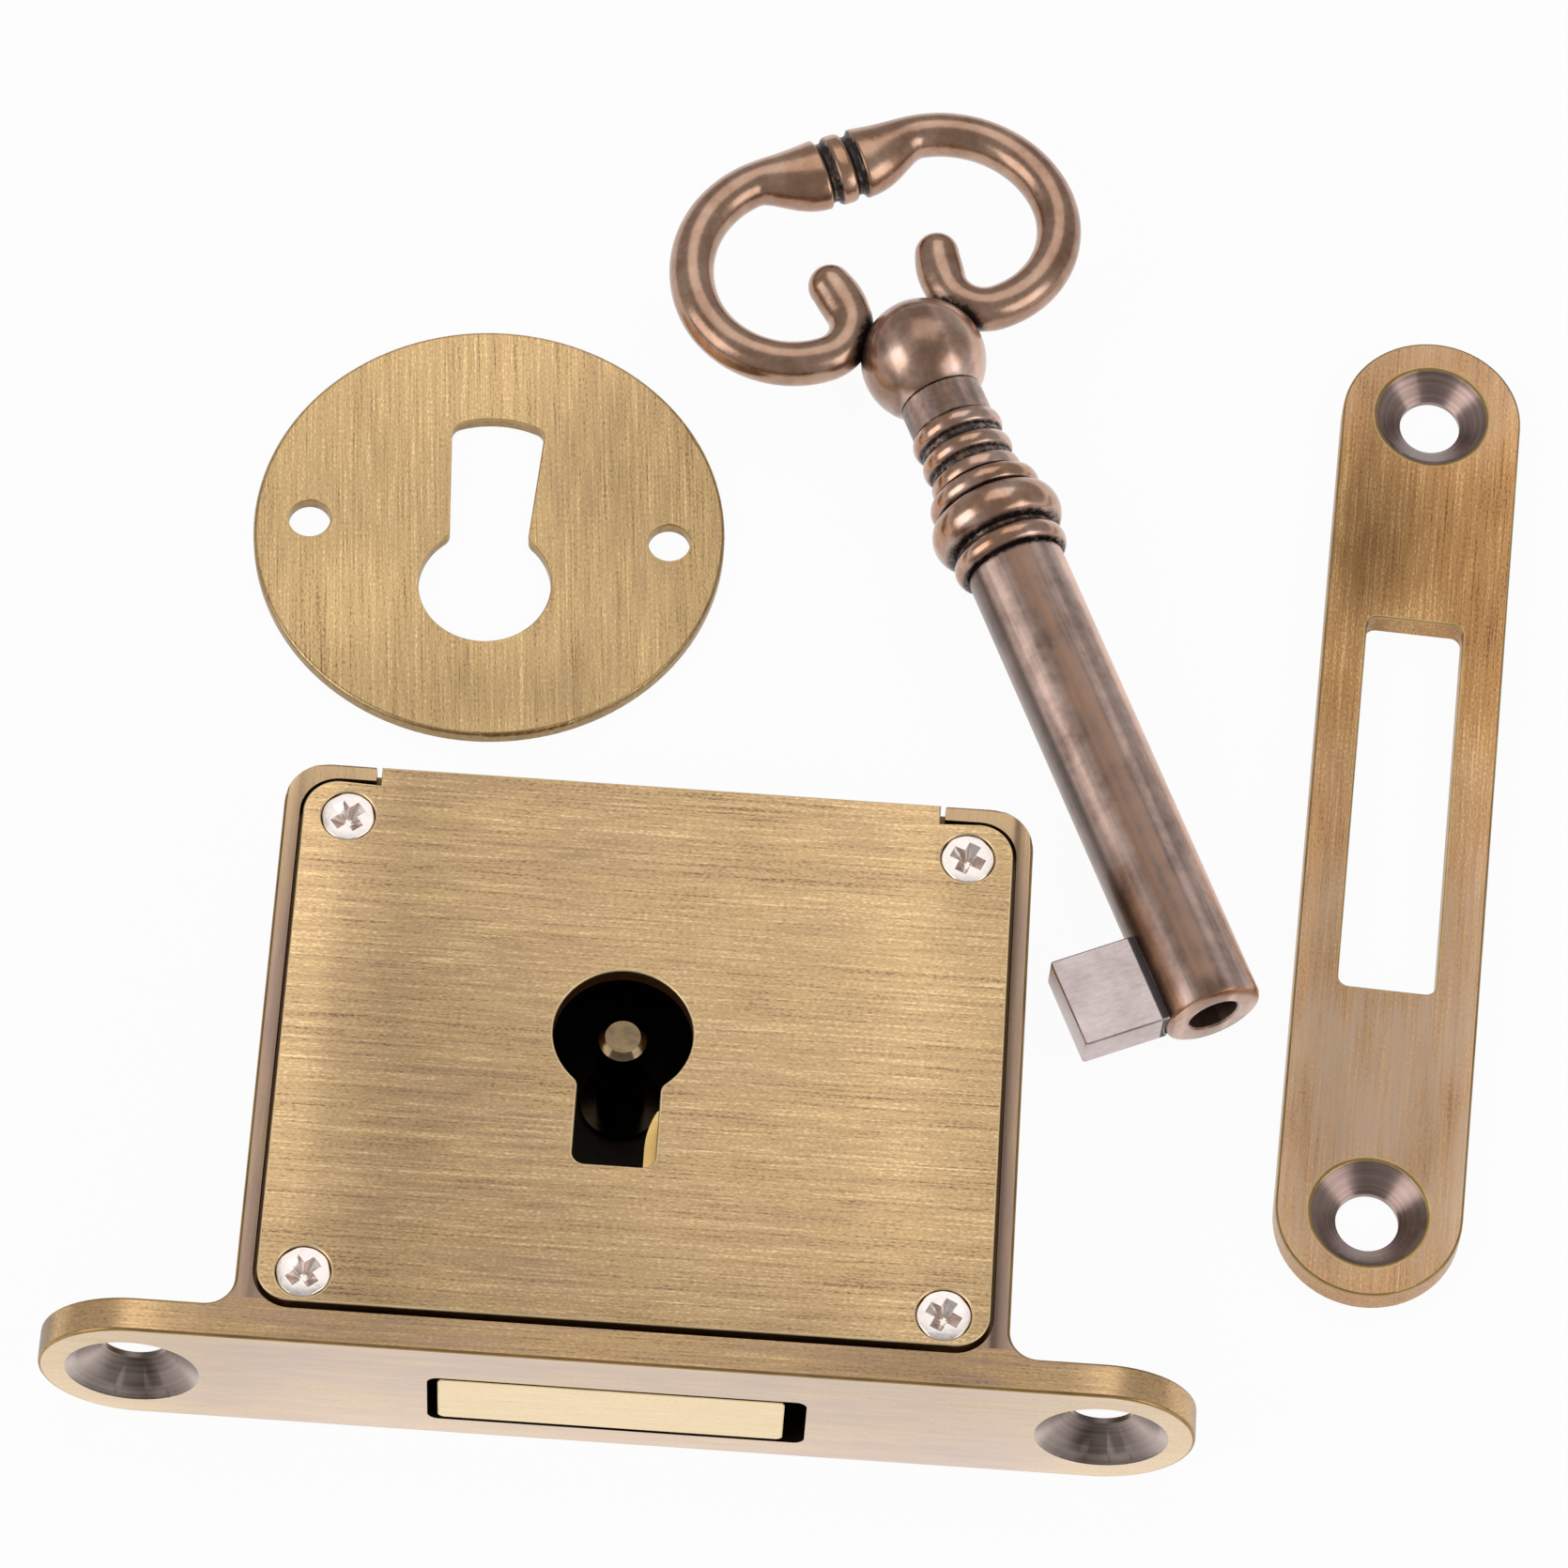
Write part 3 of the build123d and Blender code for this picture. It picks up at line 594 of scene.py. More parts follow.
@dataclass(frozen=True)
class AgedBronze:
    """The key's bronze: rubbed coppery on crests, black in hollows, with bands of painted light and
    shade.
    """

    name: str
    shade: Rgba
    body: Rgba
    crest: Rgba
    hollow: Rgba
    centre: Vector
    turn: Euler
    lengthwise: float = 0.0
    # painted light and shade: bands round the shank along its local x
    painted_shading_x: Stops = ()
    coppery_x: Stops = ()
    rough: float = 0.26
    matt: float = 0.0

    def build(self) -> bpy.types.Material:
        """Work the finish up from its fields.

        Returns:
            The material.
        """
        graph = Surface(self.name)
        where = graph.local(self.centre, self.turn)
        cast = graph.noise(where, (0.32, 0.32, 0.32), 3.0, 0.6)
        rub = graph.noise(where, (2.2, 2.2, 2.2), 2.0, 0.6)
        lines = graph.noise(where, (2.6, 0.05, 2.6), 3.0, 0.65)
        hollow, worn = (
            graph.node("ShaderNodeAttribute", {"attribute_name": name}, output="Fac")
            for name in ("hollow", "worn")
        )
        plain = 1.0 - worn.clamp()
        streaks = lines * self.lengthwise * plain
        colour = graph.blend(0.5 + cast * 0.7 + streaks + rub * 0.15, self.shade, self.body)
        crest = graph.blend(0.3 + cast * 1.3 + rub * 0.35, self.crest, self.body)
        colour = graph.blend(worn * (0.85 + cast * 0.7 + rub * 0.3), colour, crest)
        if self.coppery_x:
            copper = graph.profile(where[0], self.coppery_x) * plain * (0.6 + lines * 0.8 + cast * 0.6)
            colour = graph.blend(copper, colour, self.crest)
        # painted light and shade: bands round the shank that stand in for the lamps' reflections, kept
        # off the worn crests
        if self.painted_shading_x:
            painted_bands = graph.profile(where[0], self.painted_shading_x)
            colour = graph.scaled(colour, 1.0 - plain * (1.0 - painted_bands))
        black = (hollow * (1.2 + rub * 1.4)).clamp()
        colour = graph.blend(black, colour, self.hollow)
        rough = self.rough + plain * self.matt + black * 0.3 + rub * 0.05 + cast * 0.04
        return graph.finish(colour, rough, rub * 0.5 + streaks + cast * 0.6, 0.008, coat=(0.45, 0.1))


@dataclass(frozen=True)
class Marks:
    """Noise on a plain metal: how fine it is along each axis and its share of the colour."""

    scale: Triple
    share: float = 0.4
    detail: float = 3.0
    rough: float = 0.6


STAIN = Marks((0.3, 0.3, 0.3), 0.35, 2.0, 0.5)


@dataclass(frozen=True)
class PlainMetal:
    """Metal between two tones by its marks, the first of which also give its relief."""

    name: str
    dark: Rgba
    light: Rgba
    rough: float
    marks: tuple[Marks, ...]
    level: float = 0.5
    uneven: float = 0.06
    relief_mm: float = 0.002
    metal: float = 1.0
    centre: Vector = field(default_factory=lambda: place(0, 0))
    turn: Euler = field(default_factory=Euler)
    # painted light and shade: factors along the piece's x and z
    painted_shading_x: Stops = ()
    painted_shading_z: Stops = ()

    def build(self) -> bpy.types.Material:
        """Work the finish up from its fields.

        Returns:
            The material.
        """
        graph = Surface(self.name)
        where = graph.local(self.centre, self.turn)
        noises = [graph.noise(where, marks.scale, marks.detail, marks.rough) for marks in self.marks]
        level: Wire | float = self.level
        for noise, marks in zip(noises, self.marks):
            level = level + noise * marks.share
        colour = graph.blend(level, self.dark, self.light)
        # paint light and shade along x and z
        colour = graph.with_painted_shading(colour, (where[0], self.painted_shading_x), (where[2], self.painted_shading_z))
        rough = self.rough + noises[0] * self.uneven
        return graph.finish(colour, rough, noises[0], self.relief_mm, self.metal)


def rubbed_edge(name: str, low: Rgba, high: Rgba, rough: float = 0.28) -> bpy.types.Material:
    """The rubbed edge of a plate, where the plating is thin and the metal shines."""
    marks = (Marks((1.5, 1.5, 1.5), 0.06, 1.0, 0.5), Marks((0.35, 0.35, 0.8), 0.6))
    return PlainMetal(name, low, high, rough, marks).build()


def blackened_and_shaded(name: str, base: Rgba, lift: Rgba, rough: float) -> bpy.types.Material:
    """Darker metal: painted shade on slots and walls, and the case's blackened inside."""
    values = {"level": 0.4, "uneven": 0.08, "relief_mm": 0.004, "metal": 0.85}
    return PlainMetal(name, base, lift, rough, (Marks((2.0, 2.0, 2.0), 0.5),), **values).build()


class Workshop:
    """Holds the loaded frame and turns meshes into pieces of it."""

    def __init__(self) -> None:
        """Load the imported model."""
        self.nodes: dict[str, bpy.types.Object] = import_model()["nodes"]

    def add(
        self, name: str, mesh: bpy.types.Mesh, body: str, slot: str, stands_for: Iterable[str],
        bends: tuple[str, Vector, Vector] | None = None,
    ) -> None:
        """Put a finished mesh into the scene as a piece.

        Args:
            name: the piece's name.
            mesh: its mesh, in the frame's metres, with its materials.
            body: the body it moves with.
            slot: the record's material slot; not used.
            stands_for: the solids that it replaces.
            bends: the body that its far end would follow and where the bend would start and end; when
                given, the piece is only baked in place and rides on no body.
        """
        piece = put(name, mesh)
        if bends is None:
            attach(piece, body)
        else:
            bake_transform(piece)
        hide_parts(*stands_for)
        LOG.info("%s: %d faces, rides on %s", name, len(mesh.polygons), body)

    def dress(self, node: str, material: bpy.types.Material) -> None:
        """Give a solid that stays its finish.

        Args:
            node: the solid's node.
            material: the finish.
        """
        slots = self.nodes[node].data.materials
        slots.clear()
        slots.append(material)
        LOG.info("%s: keeps its solid", node)

    def softened(
        self, node: str, width_mm: float, wanted: Callable[[Vector], bool], segments: int = 2,
        part_y: Sequence[float] = (), sharp_deg: float = 28.0,
    ) -> bpy.types.Mesh:
        """A copy of a solid whose outward edges are eased, with the eased faces in slot 1.

        Args:
            node: the solid to copy.
            width_mm: how far the easing reaches from the edge.
            wanted: tells from an edge's middle, in millimetres, whether to ease it.
            segments: faces across the easing.
            part_y: where to part the faces, so that each side can have its own finish.
            sharp_deg: edges that bend less than this are part of a curve.

        Returns:
            The new mesh.
        """
        bm = bmesh.new()
        bm.from_mesh(self.nodes[node].data)
        bmesh.ops.remove_doubles(bm, verts=bm.verts, dist=STITCH * MM)
        flat = math.radians(FLAT_DEG)
        bmesh.ops.dissolve_limit(bm, angle_limit=flat, verts=bm.verts, edges=bm.edges, delimit={"NORMAL"})
        edges = [
            edge
            for edge in bm.edges
            if len(edge.link_faces) == 2
            and edge.is_convex
            and edge.calc_face_angle(0.0) > math.radians(sharp_deg)
            and wanted(measured((edge.verts[0].co + edge.verts[1].co) / 2))
        ]
        for face in bm.faces:
            face.material_index = 0
        bmesh.ops.bevel(
            bm, geom=edges, offset=width_mm * MM, offset_type="OFFSET", segments=segments,
            profile=0.5, affect="EDGES", clamp_overlap=False, material=1,
        )
        for parting in part_y:
            whole = [*bm.verts, *bm.edges, *bm.faces]
            bmesh.ops.bisect_plane(bm, geom=whole, plane_co=place(0, parting), plane_no=(0, 1, 0))
        mesh = bpy.data.meshes.new(node + "_dressed")
        bm.to_mesh(mesh)
        bm.free()
        shaded(mesh, sharp_deg)
        return worked(mesh, "WEIGHTED_NORMAL", {"mode": "FACE_AREA", "keep_sharp": True})


def paint(
    mesh: bpy.types.Mesh,
    materials: Sequence[bpy.types.Material],
    choose: Callable[[Vector, Vector], int] | None = None,
) -> None:
    """Give a softened mesh its materials, with the eased faces in slot 1.

    Args:
        mesh: the mesh to paint.
        materials: its materials, in slot order.
        choose: tells any other face's slot from its middle in millimetres and its normal.
    """
    for material in materials:
        mesh.materials.append(material)
    for polygon in mesh.polygons:
        if choose and polygon.material_index != 1:
            polygon.material_index = choose(measured(polygon.center), polygon.normal)


@dataclass
class LockCase:
    """The case with its faceplate, the cover let into it and the four cover screws."""

    shop: Workshop
    plate_thick: float = 2.5
    plate_width: float = 13.4
    hole_x: float = 33.5
    sink_r: float = 4.75
    slot_half: float = 13.1
    slot_margin: float = 1.0
    case_half: float = 26.6
    case_back: float = 45.18
    rim: float = 1.15
    cover_low: float = 12.0
    top: float = 13.4
    cover_half: float = 25.15
    cover_front: float = 3.05
    cover_back: float = 43.73
    cover_corner: float = 2.4
    tab_half: float = 19.9
    snug_depth: float = 0.35
    snug_side: float = 0.08
    snug_back: float = 0.14
    eased: float = 0.2
    corner_reach: float = 0.1
    cover_eased: float = 0.13
    screw_x: float = 22.0
    screw_y: Pair = (5.35, 41.08)
    screw_turns_deg: tuple[float, ...] = (40.0, 64.0, 39.0, 66.0)
    screw_r: float = 1.9
    screw_land: float = 0.15
    screw_edge: float = 0.08
    screw_edge_drop: float = 0.06
    screw_rise: float = 0.12
    screw_dent: float = 0.045
    screw_sides: int = 48
    screw_sharp_deg: float = 24.0
    thread_r: float = 0.95
    thread_foot: float = -5.88
    thread_point: float = 0.5
    cross_arm: float = 1.42
    cross_half: float = 0.52
    cross_z: Pair = (-1.0, 0.3)
    cross_taper: float = 0.2

    def build(self) -> None:
        """Make and dress every piece of the case."""
        self._housing()
        self._cover()
        self._screws()
        pin = PlainMetal(
            "pin_steel", tone(70, 60, 54), tone(160, 136, 100), 0.16, (Marks((1.0, 1.4, 3.0)), STAIN),
            # painted shade: the pins darkened below their tops, where they stand under the cover
            painted_shading_z=((2.0, 0.1), (12.1, 0.16), (12.4, 1.0), (13.4, 1.0)),
        ).build()
        self.shop.dress("drill_pin", pin)
        self.shop.dress("bolt_guide_pins", pin)

    def _from_hole(self, point: Vector) -> float:
        """How far a point lies from the axis of the nearer hole in the faceplate."""
        return math.hypot(abs(point.x) - self.hole_x, point.z - self.plate_width / 2)

    def _housing(self) -> None:
        """The tray and the faceplate, softened, with each zone in its own finish."""
        case = BrushedBrass(
            "case_brass", tone(124, 96, 76), tone(176, 146, 106), tone(220, 186, 134),
            # painted light and shade along the faceplate's top: painted highlights near both ends,
            # painted shade at the very tips
            painted_shading_x=((-40.2, 0.4), (-39.3, 0.7), (-38.4, 1.5), (-36.0, 1.75), (-33.0, 1.7), (-30.0, 1.2),
                      (-27.0, 1.0), (-17.0, 0.88), (-4.0, 1.08), (9.3, 1.04), (22.0, 0.86), (30.0, 1.0),
                      (34.0, 1.6), (37.5, 1.85), (39.2, 1.5), (40.2, 0.9)),
            patina=tone(150, 122, 116), patina_axis=0, patina_level=0.75,
            patina_stops=((-41.0, 0.3), (-32.0, 0.2), (-27.0, 1.2), (-17.0, 1.2), (-4.0, 0.6),
                          (9.0, 0.7), (22.0, 1.3), (30.0, 1.6), (34.0, 0.9), (41.0, 0.7)),
            streak=1.1, cloud=0.35, rough=0.34,
        ).build()
        edge = rubbed_edge("case_edge", tone(128, 98, 60), tone(196, 162, 108))
        # the front: the case's brass made paler and pinker, partly as a painted reflection of the white
        # table, with painted light and shade along x and z, lighter towards its foot
        front = BrushedBrass(
            "faceplate_front", tone(198, 170, 134), tone(237, 211, 174), tone(255, 238, 202),
            painted_shading_x=((-40.0, 0.98), (-30.0, 0.93), (-18.0, 1.03), (0.0, 1.0), (20.0, 0.97), (28.0, 1.0),
                      (40.0, 1.02)),
            painted_shading_z=((0.0, 1.12), (3.0, 1.05), (7.0, 0.98), (12.0, 0.93), (13.4, 0.97)),
            patina=tone(212, 191, 181), patina_axis=0, patina_level=0.6, patina_even=1.0,
            patina_stops=((-40.0, 0.1), (-34.0, 0.4), (-26.0, 1.1), (26.0, 1.1), (34.0, 0.5),
                          (40.0, 0.2)),
            streak=1.0, cloud=0.3, rough=0.24,
        ).build()
        # the faceplate's cones carry a painted sheen on their sides
        sink = TurnedCone(
            "sunk_cone", tone(68, 49, 41), tone(208, 190, 182), place(0.0, 0.0, self.plate_width / 2),
            Euler((math.radians(90), 0, 0)), self.hole_x, rough=0.34, level=0.15, painted_sheen=0.85, groove=0.2,
        ).build()
        inside = blackened_and_shaded("case_inside", tone(24, 20, 16), tone(52, 42, 32), 0.5)
        # painted shade: the rim's wall and ledge, darker than the rim, where they lie in the cover's gap
        lip = blackened_and_shaded("rim_wall", tone(92, 70, 48), tone(138, 108, 74), 0.4)
        rim = BrushedBrass(
            "rim_brass", tone(142, 116, 88), tone(184, 156, 118), tone(214, 184, 142),
            brushing=Brushing.ALONG_Y,
            # painted shade along the rim's inner edges beside the cover's gap, and painted light at its
            # outer edges and towards its back
            painted_shading_x=((-26.6, 1.08), (-26.2, 1.16), (-25.9, 0.98), (-25.5, 0.72), (-25.0, 0.9),
                      (25.0, 0.9), (25.45, 0.3), (25.75, 0.6), (26.1, 0.9), (26.6, 1.1)),
            painted_shading_y=((3.0, 0.98), (20.0, 1.02), (34.0, 1.04), (41.0, 1.14), (44.0, 1.31)),
            patina=tone(156, 131, 118), patina_level=0.9, patina_even=1.0,
            patina_stops=((3.0, 1.0), (36.0, 0.8), (42.0, 0.35), (45.2, 0.1)), streak=0.7,
        ).build()
        mesh = self.shop.softened(
            "housing", self.eased, self._eased_edge, segments=3, part_y=(self.cover_front,)
        )
        paint(mesh, (case, edge, front, sink, inside, lip, rim), self._zone)
        self.shop.add("lock_case", mesh, "case", "cast_brass", ["housing"])

    def _eased_edge(self, point: Vector) -> bool:
        """Whether an edge of the housing is eased.

        Args:
            point: the edge's middle.

        Returns:
            True on the faceplate and on the case's outer corners, but not round holes or the cover.
        """
        behind = point.y > self.plate_thick + self.eased
        reach = self.corner_reach
        outside = abs(point.x) > self.case_half - reach or point.y > self.case_back - reach
        if behind and outside:
            return point.z > NEAR
        above, below = self.slot_margin, self.plate_width - self.slot_margin
        in_slot = abs(point.x) < self.slot_half + self.eased and above < point.z < below
        on_front = point.y < NEAR and not in_slot
        on_back = not behind and abs(point.x) > self.case_half
        return self._from_hole(point) > self.sink_r + NEAR and (on_front or on_back)

    def _zone(self, centre: Vector, normal: Vector) -> int:
        """Which finish a face of the housing has.

        Args:
            centre: the face's middle.
            normal: the way it looks.

        Returns:
            0 for the case, 2 the front, 3 a sunk cone, 4 the inside, 5 the rim's wall and 6 the rim.
        """
        in_hole = self._from_hole(centre) < self.sink_r and centre.y < self.plate_thick - NEAR
        if in_hole and normal.y > -FACING:
            return 3
        if normal.y < -FACING and centre.y < NEAR:
            return 2
        within = abs(centre.x) < self.case_half - self.rim - NEAR
        below = NEAR < centre.z < self.top - NEAR
        if within and below and NEAR < centre.y < self.case_back - self.rim - NEAR:
            return 5 if centre.z > self.cover_low - NEAR else 4
        return 6 if centre.y > self.cover_front and normal.z > FACING else 0

    def _cover(self) -> None:
        """The brushed cover plate with its keyhole."""
        brushed = BrushedBrass(
            "cover_brass", tone(142, 112, 88), tone(200, 168, 124), tone(246, 212, 162),
            # painted light and shade: a painted reflection gradient across the cover, bright at its left
            # edge, darker near its front
            painted_shading_x=((-25.2, 1.3), (-23.6, 1.26), (-21.0, 0.98), (-17.3, 0.84), (-11.0, 0.93),
                      (-4.0, 0.95), (5.0, 0.98), (12.0, 1.03), (18.5, 1.16), (22.5, 1.04), (25.2, 0.98)),
            painted_shading_y=((3.0, 0.82), (6.0, 0.9), (13.0, 0.98), (30.0, 1.0), (38.0, 1.03), (44.0, 1.04)),
            patina=tone(144, 115, 98), patina_axis=0, patina_level=0.4,
            patina_stops=((-25.0, 0.5), (-19.0, 1.3), (-9.0, 1.6), (1.0, 0.8), (12.0, 0.8), (25.0, 0.2)),
            stains=((-15.0, 22.0, 14.0, 14.0, 0.13), (-9.0, 10.0, 13.0, 8.0, 0.12),
                    (23.0, 37.0, 4.5, 7.0, 0.1), (-24.0, 8.0, 3.5, 7.0, 0.09)),
            cloud=0.3, cloud_mm=7.0,
        ).build()
        edge = rubbed_edge("cover_edge", tone(214, 180, 130), tone(255, 236, 192), rough=0.4)
        # painted shade: the cover's walls, darker and redder than its face, where they stand in the gap
        wall = blackened_and_shaded("cover_wall", tone(116, 74, 44), tone(168, 116, 74), 0.35)

        def zone(centre: Vector, normal: Vector) -> int:
            """Slot of a face: 0 brushed, 2 wall."""
            return 2 if centre.z < self.top - NEAR and abs(normal.z) < FACING else 0

        mesh = self.shop.softened(
            "cover_plate", self.cover_eased, lambda point: point.z > self.top - NEAR, segments=3
        )
        self._snug(mesh)
        paint(mesh, (brushed, edge, wall), zone)
        self.shop.add("cover", mesh, "case", "cover_brass", ["cover_plate"])

    def _snug(self, mesh: bpy.types.Mesh) -> None:
        """Let the cover's outline lie closer to the rim at its sides and back, clear of the tab.

        Args:
            mesh: the cover, which is changed.
        """
        reach = self.cover_corner
        core_x, core_front = self.cover_half - reach, self.cover_front + reach
        core_back = self.cover_back - reach
        for vertex in mesh.vertices:
            point = measured(vertex.co)
            off_x = point.x - min(max(point.x, -core_x), core_x)
            off_y = point.y - min(max(point.y, core_front), core_back)
            off = math.hypot(off_x, off_y)
            on_tab = abs(point.x) < self.tab_half + NEAR and point.y > core_back
            if off > reach - self.snug_depth and not on_tab:
                side, back = off_x / off * self.snug_side, max(off_y / off, 0.0) * self.snug_back
                vertex.co += Vector((side, back, 0.0)) * MM

    def _screw(self) -> bpy.types.Mesh:
        """Turn one countersunk screw and cut its cross recess.

        Returns:
            The screw, with its domed head's rim at z = 0.
        """
        head, thread, foot, land, rise = (
            self.screw_r, self.thread_r, self.thread_foot, self.screw_land, self.screw_rise
        )
        profile = (
            (0.0, foot), (thread * 0.5, foot), (thread, foot + self.thread_point),
            (thread, thread - head - land), (head, -land), (head, -self.screw_edge_drop),
            (head - self.screw_edge, 0.0), (head * 0.75, rise * 0.55), (head * 0.4, rise * 0.9),
            (0.0, rise),
        )
        turns = spread(0.0, math.tau, self.screw_sides)[:-1]
        dents = [1.0 - self.screw_dent * math.sin(3 * a) ** 2 * math.cos(2 * a + 0.5) ** 2 for a in turns]
        blank = lofted("screw_blank", [
            Vector((radius * dent * math.cos(a), radius * dent * math.sin(a), z)) * MM
            for radius, z in profile
            for a, dent in zip(turns, dents)
        ], self.screw_sides)
        arm, half = self.cross_arm, self.cross_half
        quarter, outline = [(half, half), (half, arm), (-half, arm)], []
        while len(outline) < 4 * len(quarter):
            outline += quarter
            quarter = [(-y, x) for x, y in quarter]
        cutter = lofted("screw_cross", [
            Vector((x * share, y * share, z)) * MM
            for share, z in zip((self.cross_taper, 1.0), self.cross_z)
            for x, y in outline
        ], len(outline))
        cross = put("screw_cross", closed(cutter, 0.0))
        settings = {"operation": "DIFFERENCE", "object": cross, "solver": "EXACT"}
        screw = worked(closed(blank, 0.0), "BOOLEAN", settings)
        bpy.data.objects.remove(cross)
        shaded(screw, self.screw_sharp_deg)
        return screw

    def _screws(self) -> None:
        """The four cover screws, set on their places by a node tree."""
        nickel = PlainMetal(
            "screw_nickel", tone(212, 200, 194), tone(255, 246, 241), 0.22,
            (Marks((1.6, 1.6, 1.6)), STAIN), relief_mm=0.006,
        ).build()
        flush = self.top - self.screw_rise
        points = bpy.data.meshes.new("screw_places")
        points.from_pydata(
            [place(side * self.screw_x, y, flush) for y in self.screw_y for side in (-1, 1)], [], []
        )
        turns = points.attributes.new("turn", "FLOAT", "POINT")
        turns.data.foreach_set("value", [math.radians(turn) for turn in self.screw_turns_deg])
        pattern = put("screw_pattern", self._screw())
        recipe = Recipe("cover_screw_set")
        item = recipe.size("Screw", pattern, "NodeSocketObject")
        scale = recipe.size("Scale", 1.0)
        shape = recipe.node("GeometryNodeObjectInfo", {}, {"Object": item}, "Geometry")
        turn = recipe.node("GeometryNodeInputNamedAttribute", {"data_type": "FLOAT"}, {"Name": "turn"})
        spin = recipe.node("ShaderNodeCombineXYZ", {}, {"Z": turn})
        rotation = recipe.node("FunctionNodeEulerToRotation", {}, {0: spin})
        values = {"Points": recipe.given, "Instance": shape, "Rotation": rotation, "Scale": scale}
        mesh = recipe.run(points, recipe.node("GeometryNodeInstanceOnPoints", {}, values), nickel)
        bpy.data.objects.remove(pattern)
        self.shop.add("cover_screw_set", mesh, "case", "screw_nickel", ["cover_screws"])


@dataclass
class BoltWork:
    """The bolt and the levers, pins and springs that lie under the cover."""

    shop: Workshop
    head_back: float = 11.0
    eased: float = 0.12
    leaf_bend_y: Pair = (13.5, 21.3)
    leaf_steps: int = 15

    def build(self) -> None:
        """Make and dress the moving parts."""
        pale = BrushedBrass(
            "bolt_brass", tone(216, 190, 146), tone(248, 224, 184), tone(255, 244, 214),
            patina=tone(226, 200, 160), streak=0.9, cloud=0.2, rough=0.24,
        ).build()
        edge = rubbed_edge("bolt_edge", tone(196, 160, 100), tone(250, 226, 176))
        mesh = self.shop.softened("bolt", self.eased, lambda point: point.y < self.head_back + NEAR)
        paint(mesh, (pale, edge))
        self.shop.add("bolt_bar", mesh, "bolt", "bolt_brass", ["bolt"])
        stump, sheet, strip = (
            PlainMetal(name, dark, light, rough, (Marks(scale), STAIN)).build()
            for name, dark, light, rough, scale in (
                ("stump_steel", tone(110, 100, 92), tone(180, 170, 160), 0.3, (2.0, 2.0, 8.0)),
                ("lever_brass", tone(186, 146, 84), tone(240, 206, 136), 0.3, (0.4, 5.0, 1.5)),
                ("spring_steel", tone(70, 74, 84), tone(128, 134, 146), 0.25, (4.0, 0.5, 4.0)),
            )
        )
        self.shop.dress("bolt_stump", stump)
        self.shop.dress("lever_pivot", stump)
        for level in ("lower", "upper"):
            self.shop.dress(f"lever_{level}", sheet)
            self._leaf(level, strip)

    def _leaf(self, level: str, strip: bpy.types.Material) -> None:
        """A lever's leaf spring, parted into strips along its bend and baked in place, riding on no body.

        Args:
            level: which lever it presses, lower or upper.
            strip: its finish.
        """
        node = f"lever_spring_{level}"
        start, end = self.leaf_bend_y
        partings = spread(start, end, self.leaf_steps)[:-1]
        mesh = self.shop.softened(node, 0.0, lambda point: False, part_y=partings)
        paint(mesh, (strip,))
        self.shop.add(
            f"leaf_{level}", mesh, "case", "spring_steel", [node],
            bends=(f"lever_{level}", place(0.0, start), place(0.0, end)),
        )


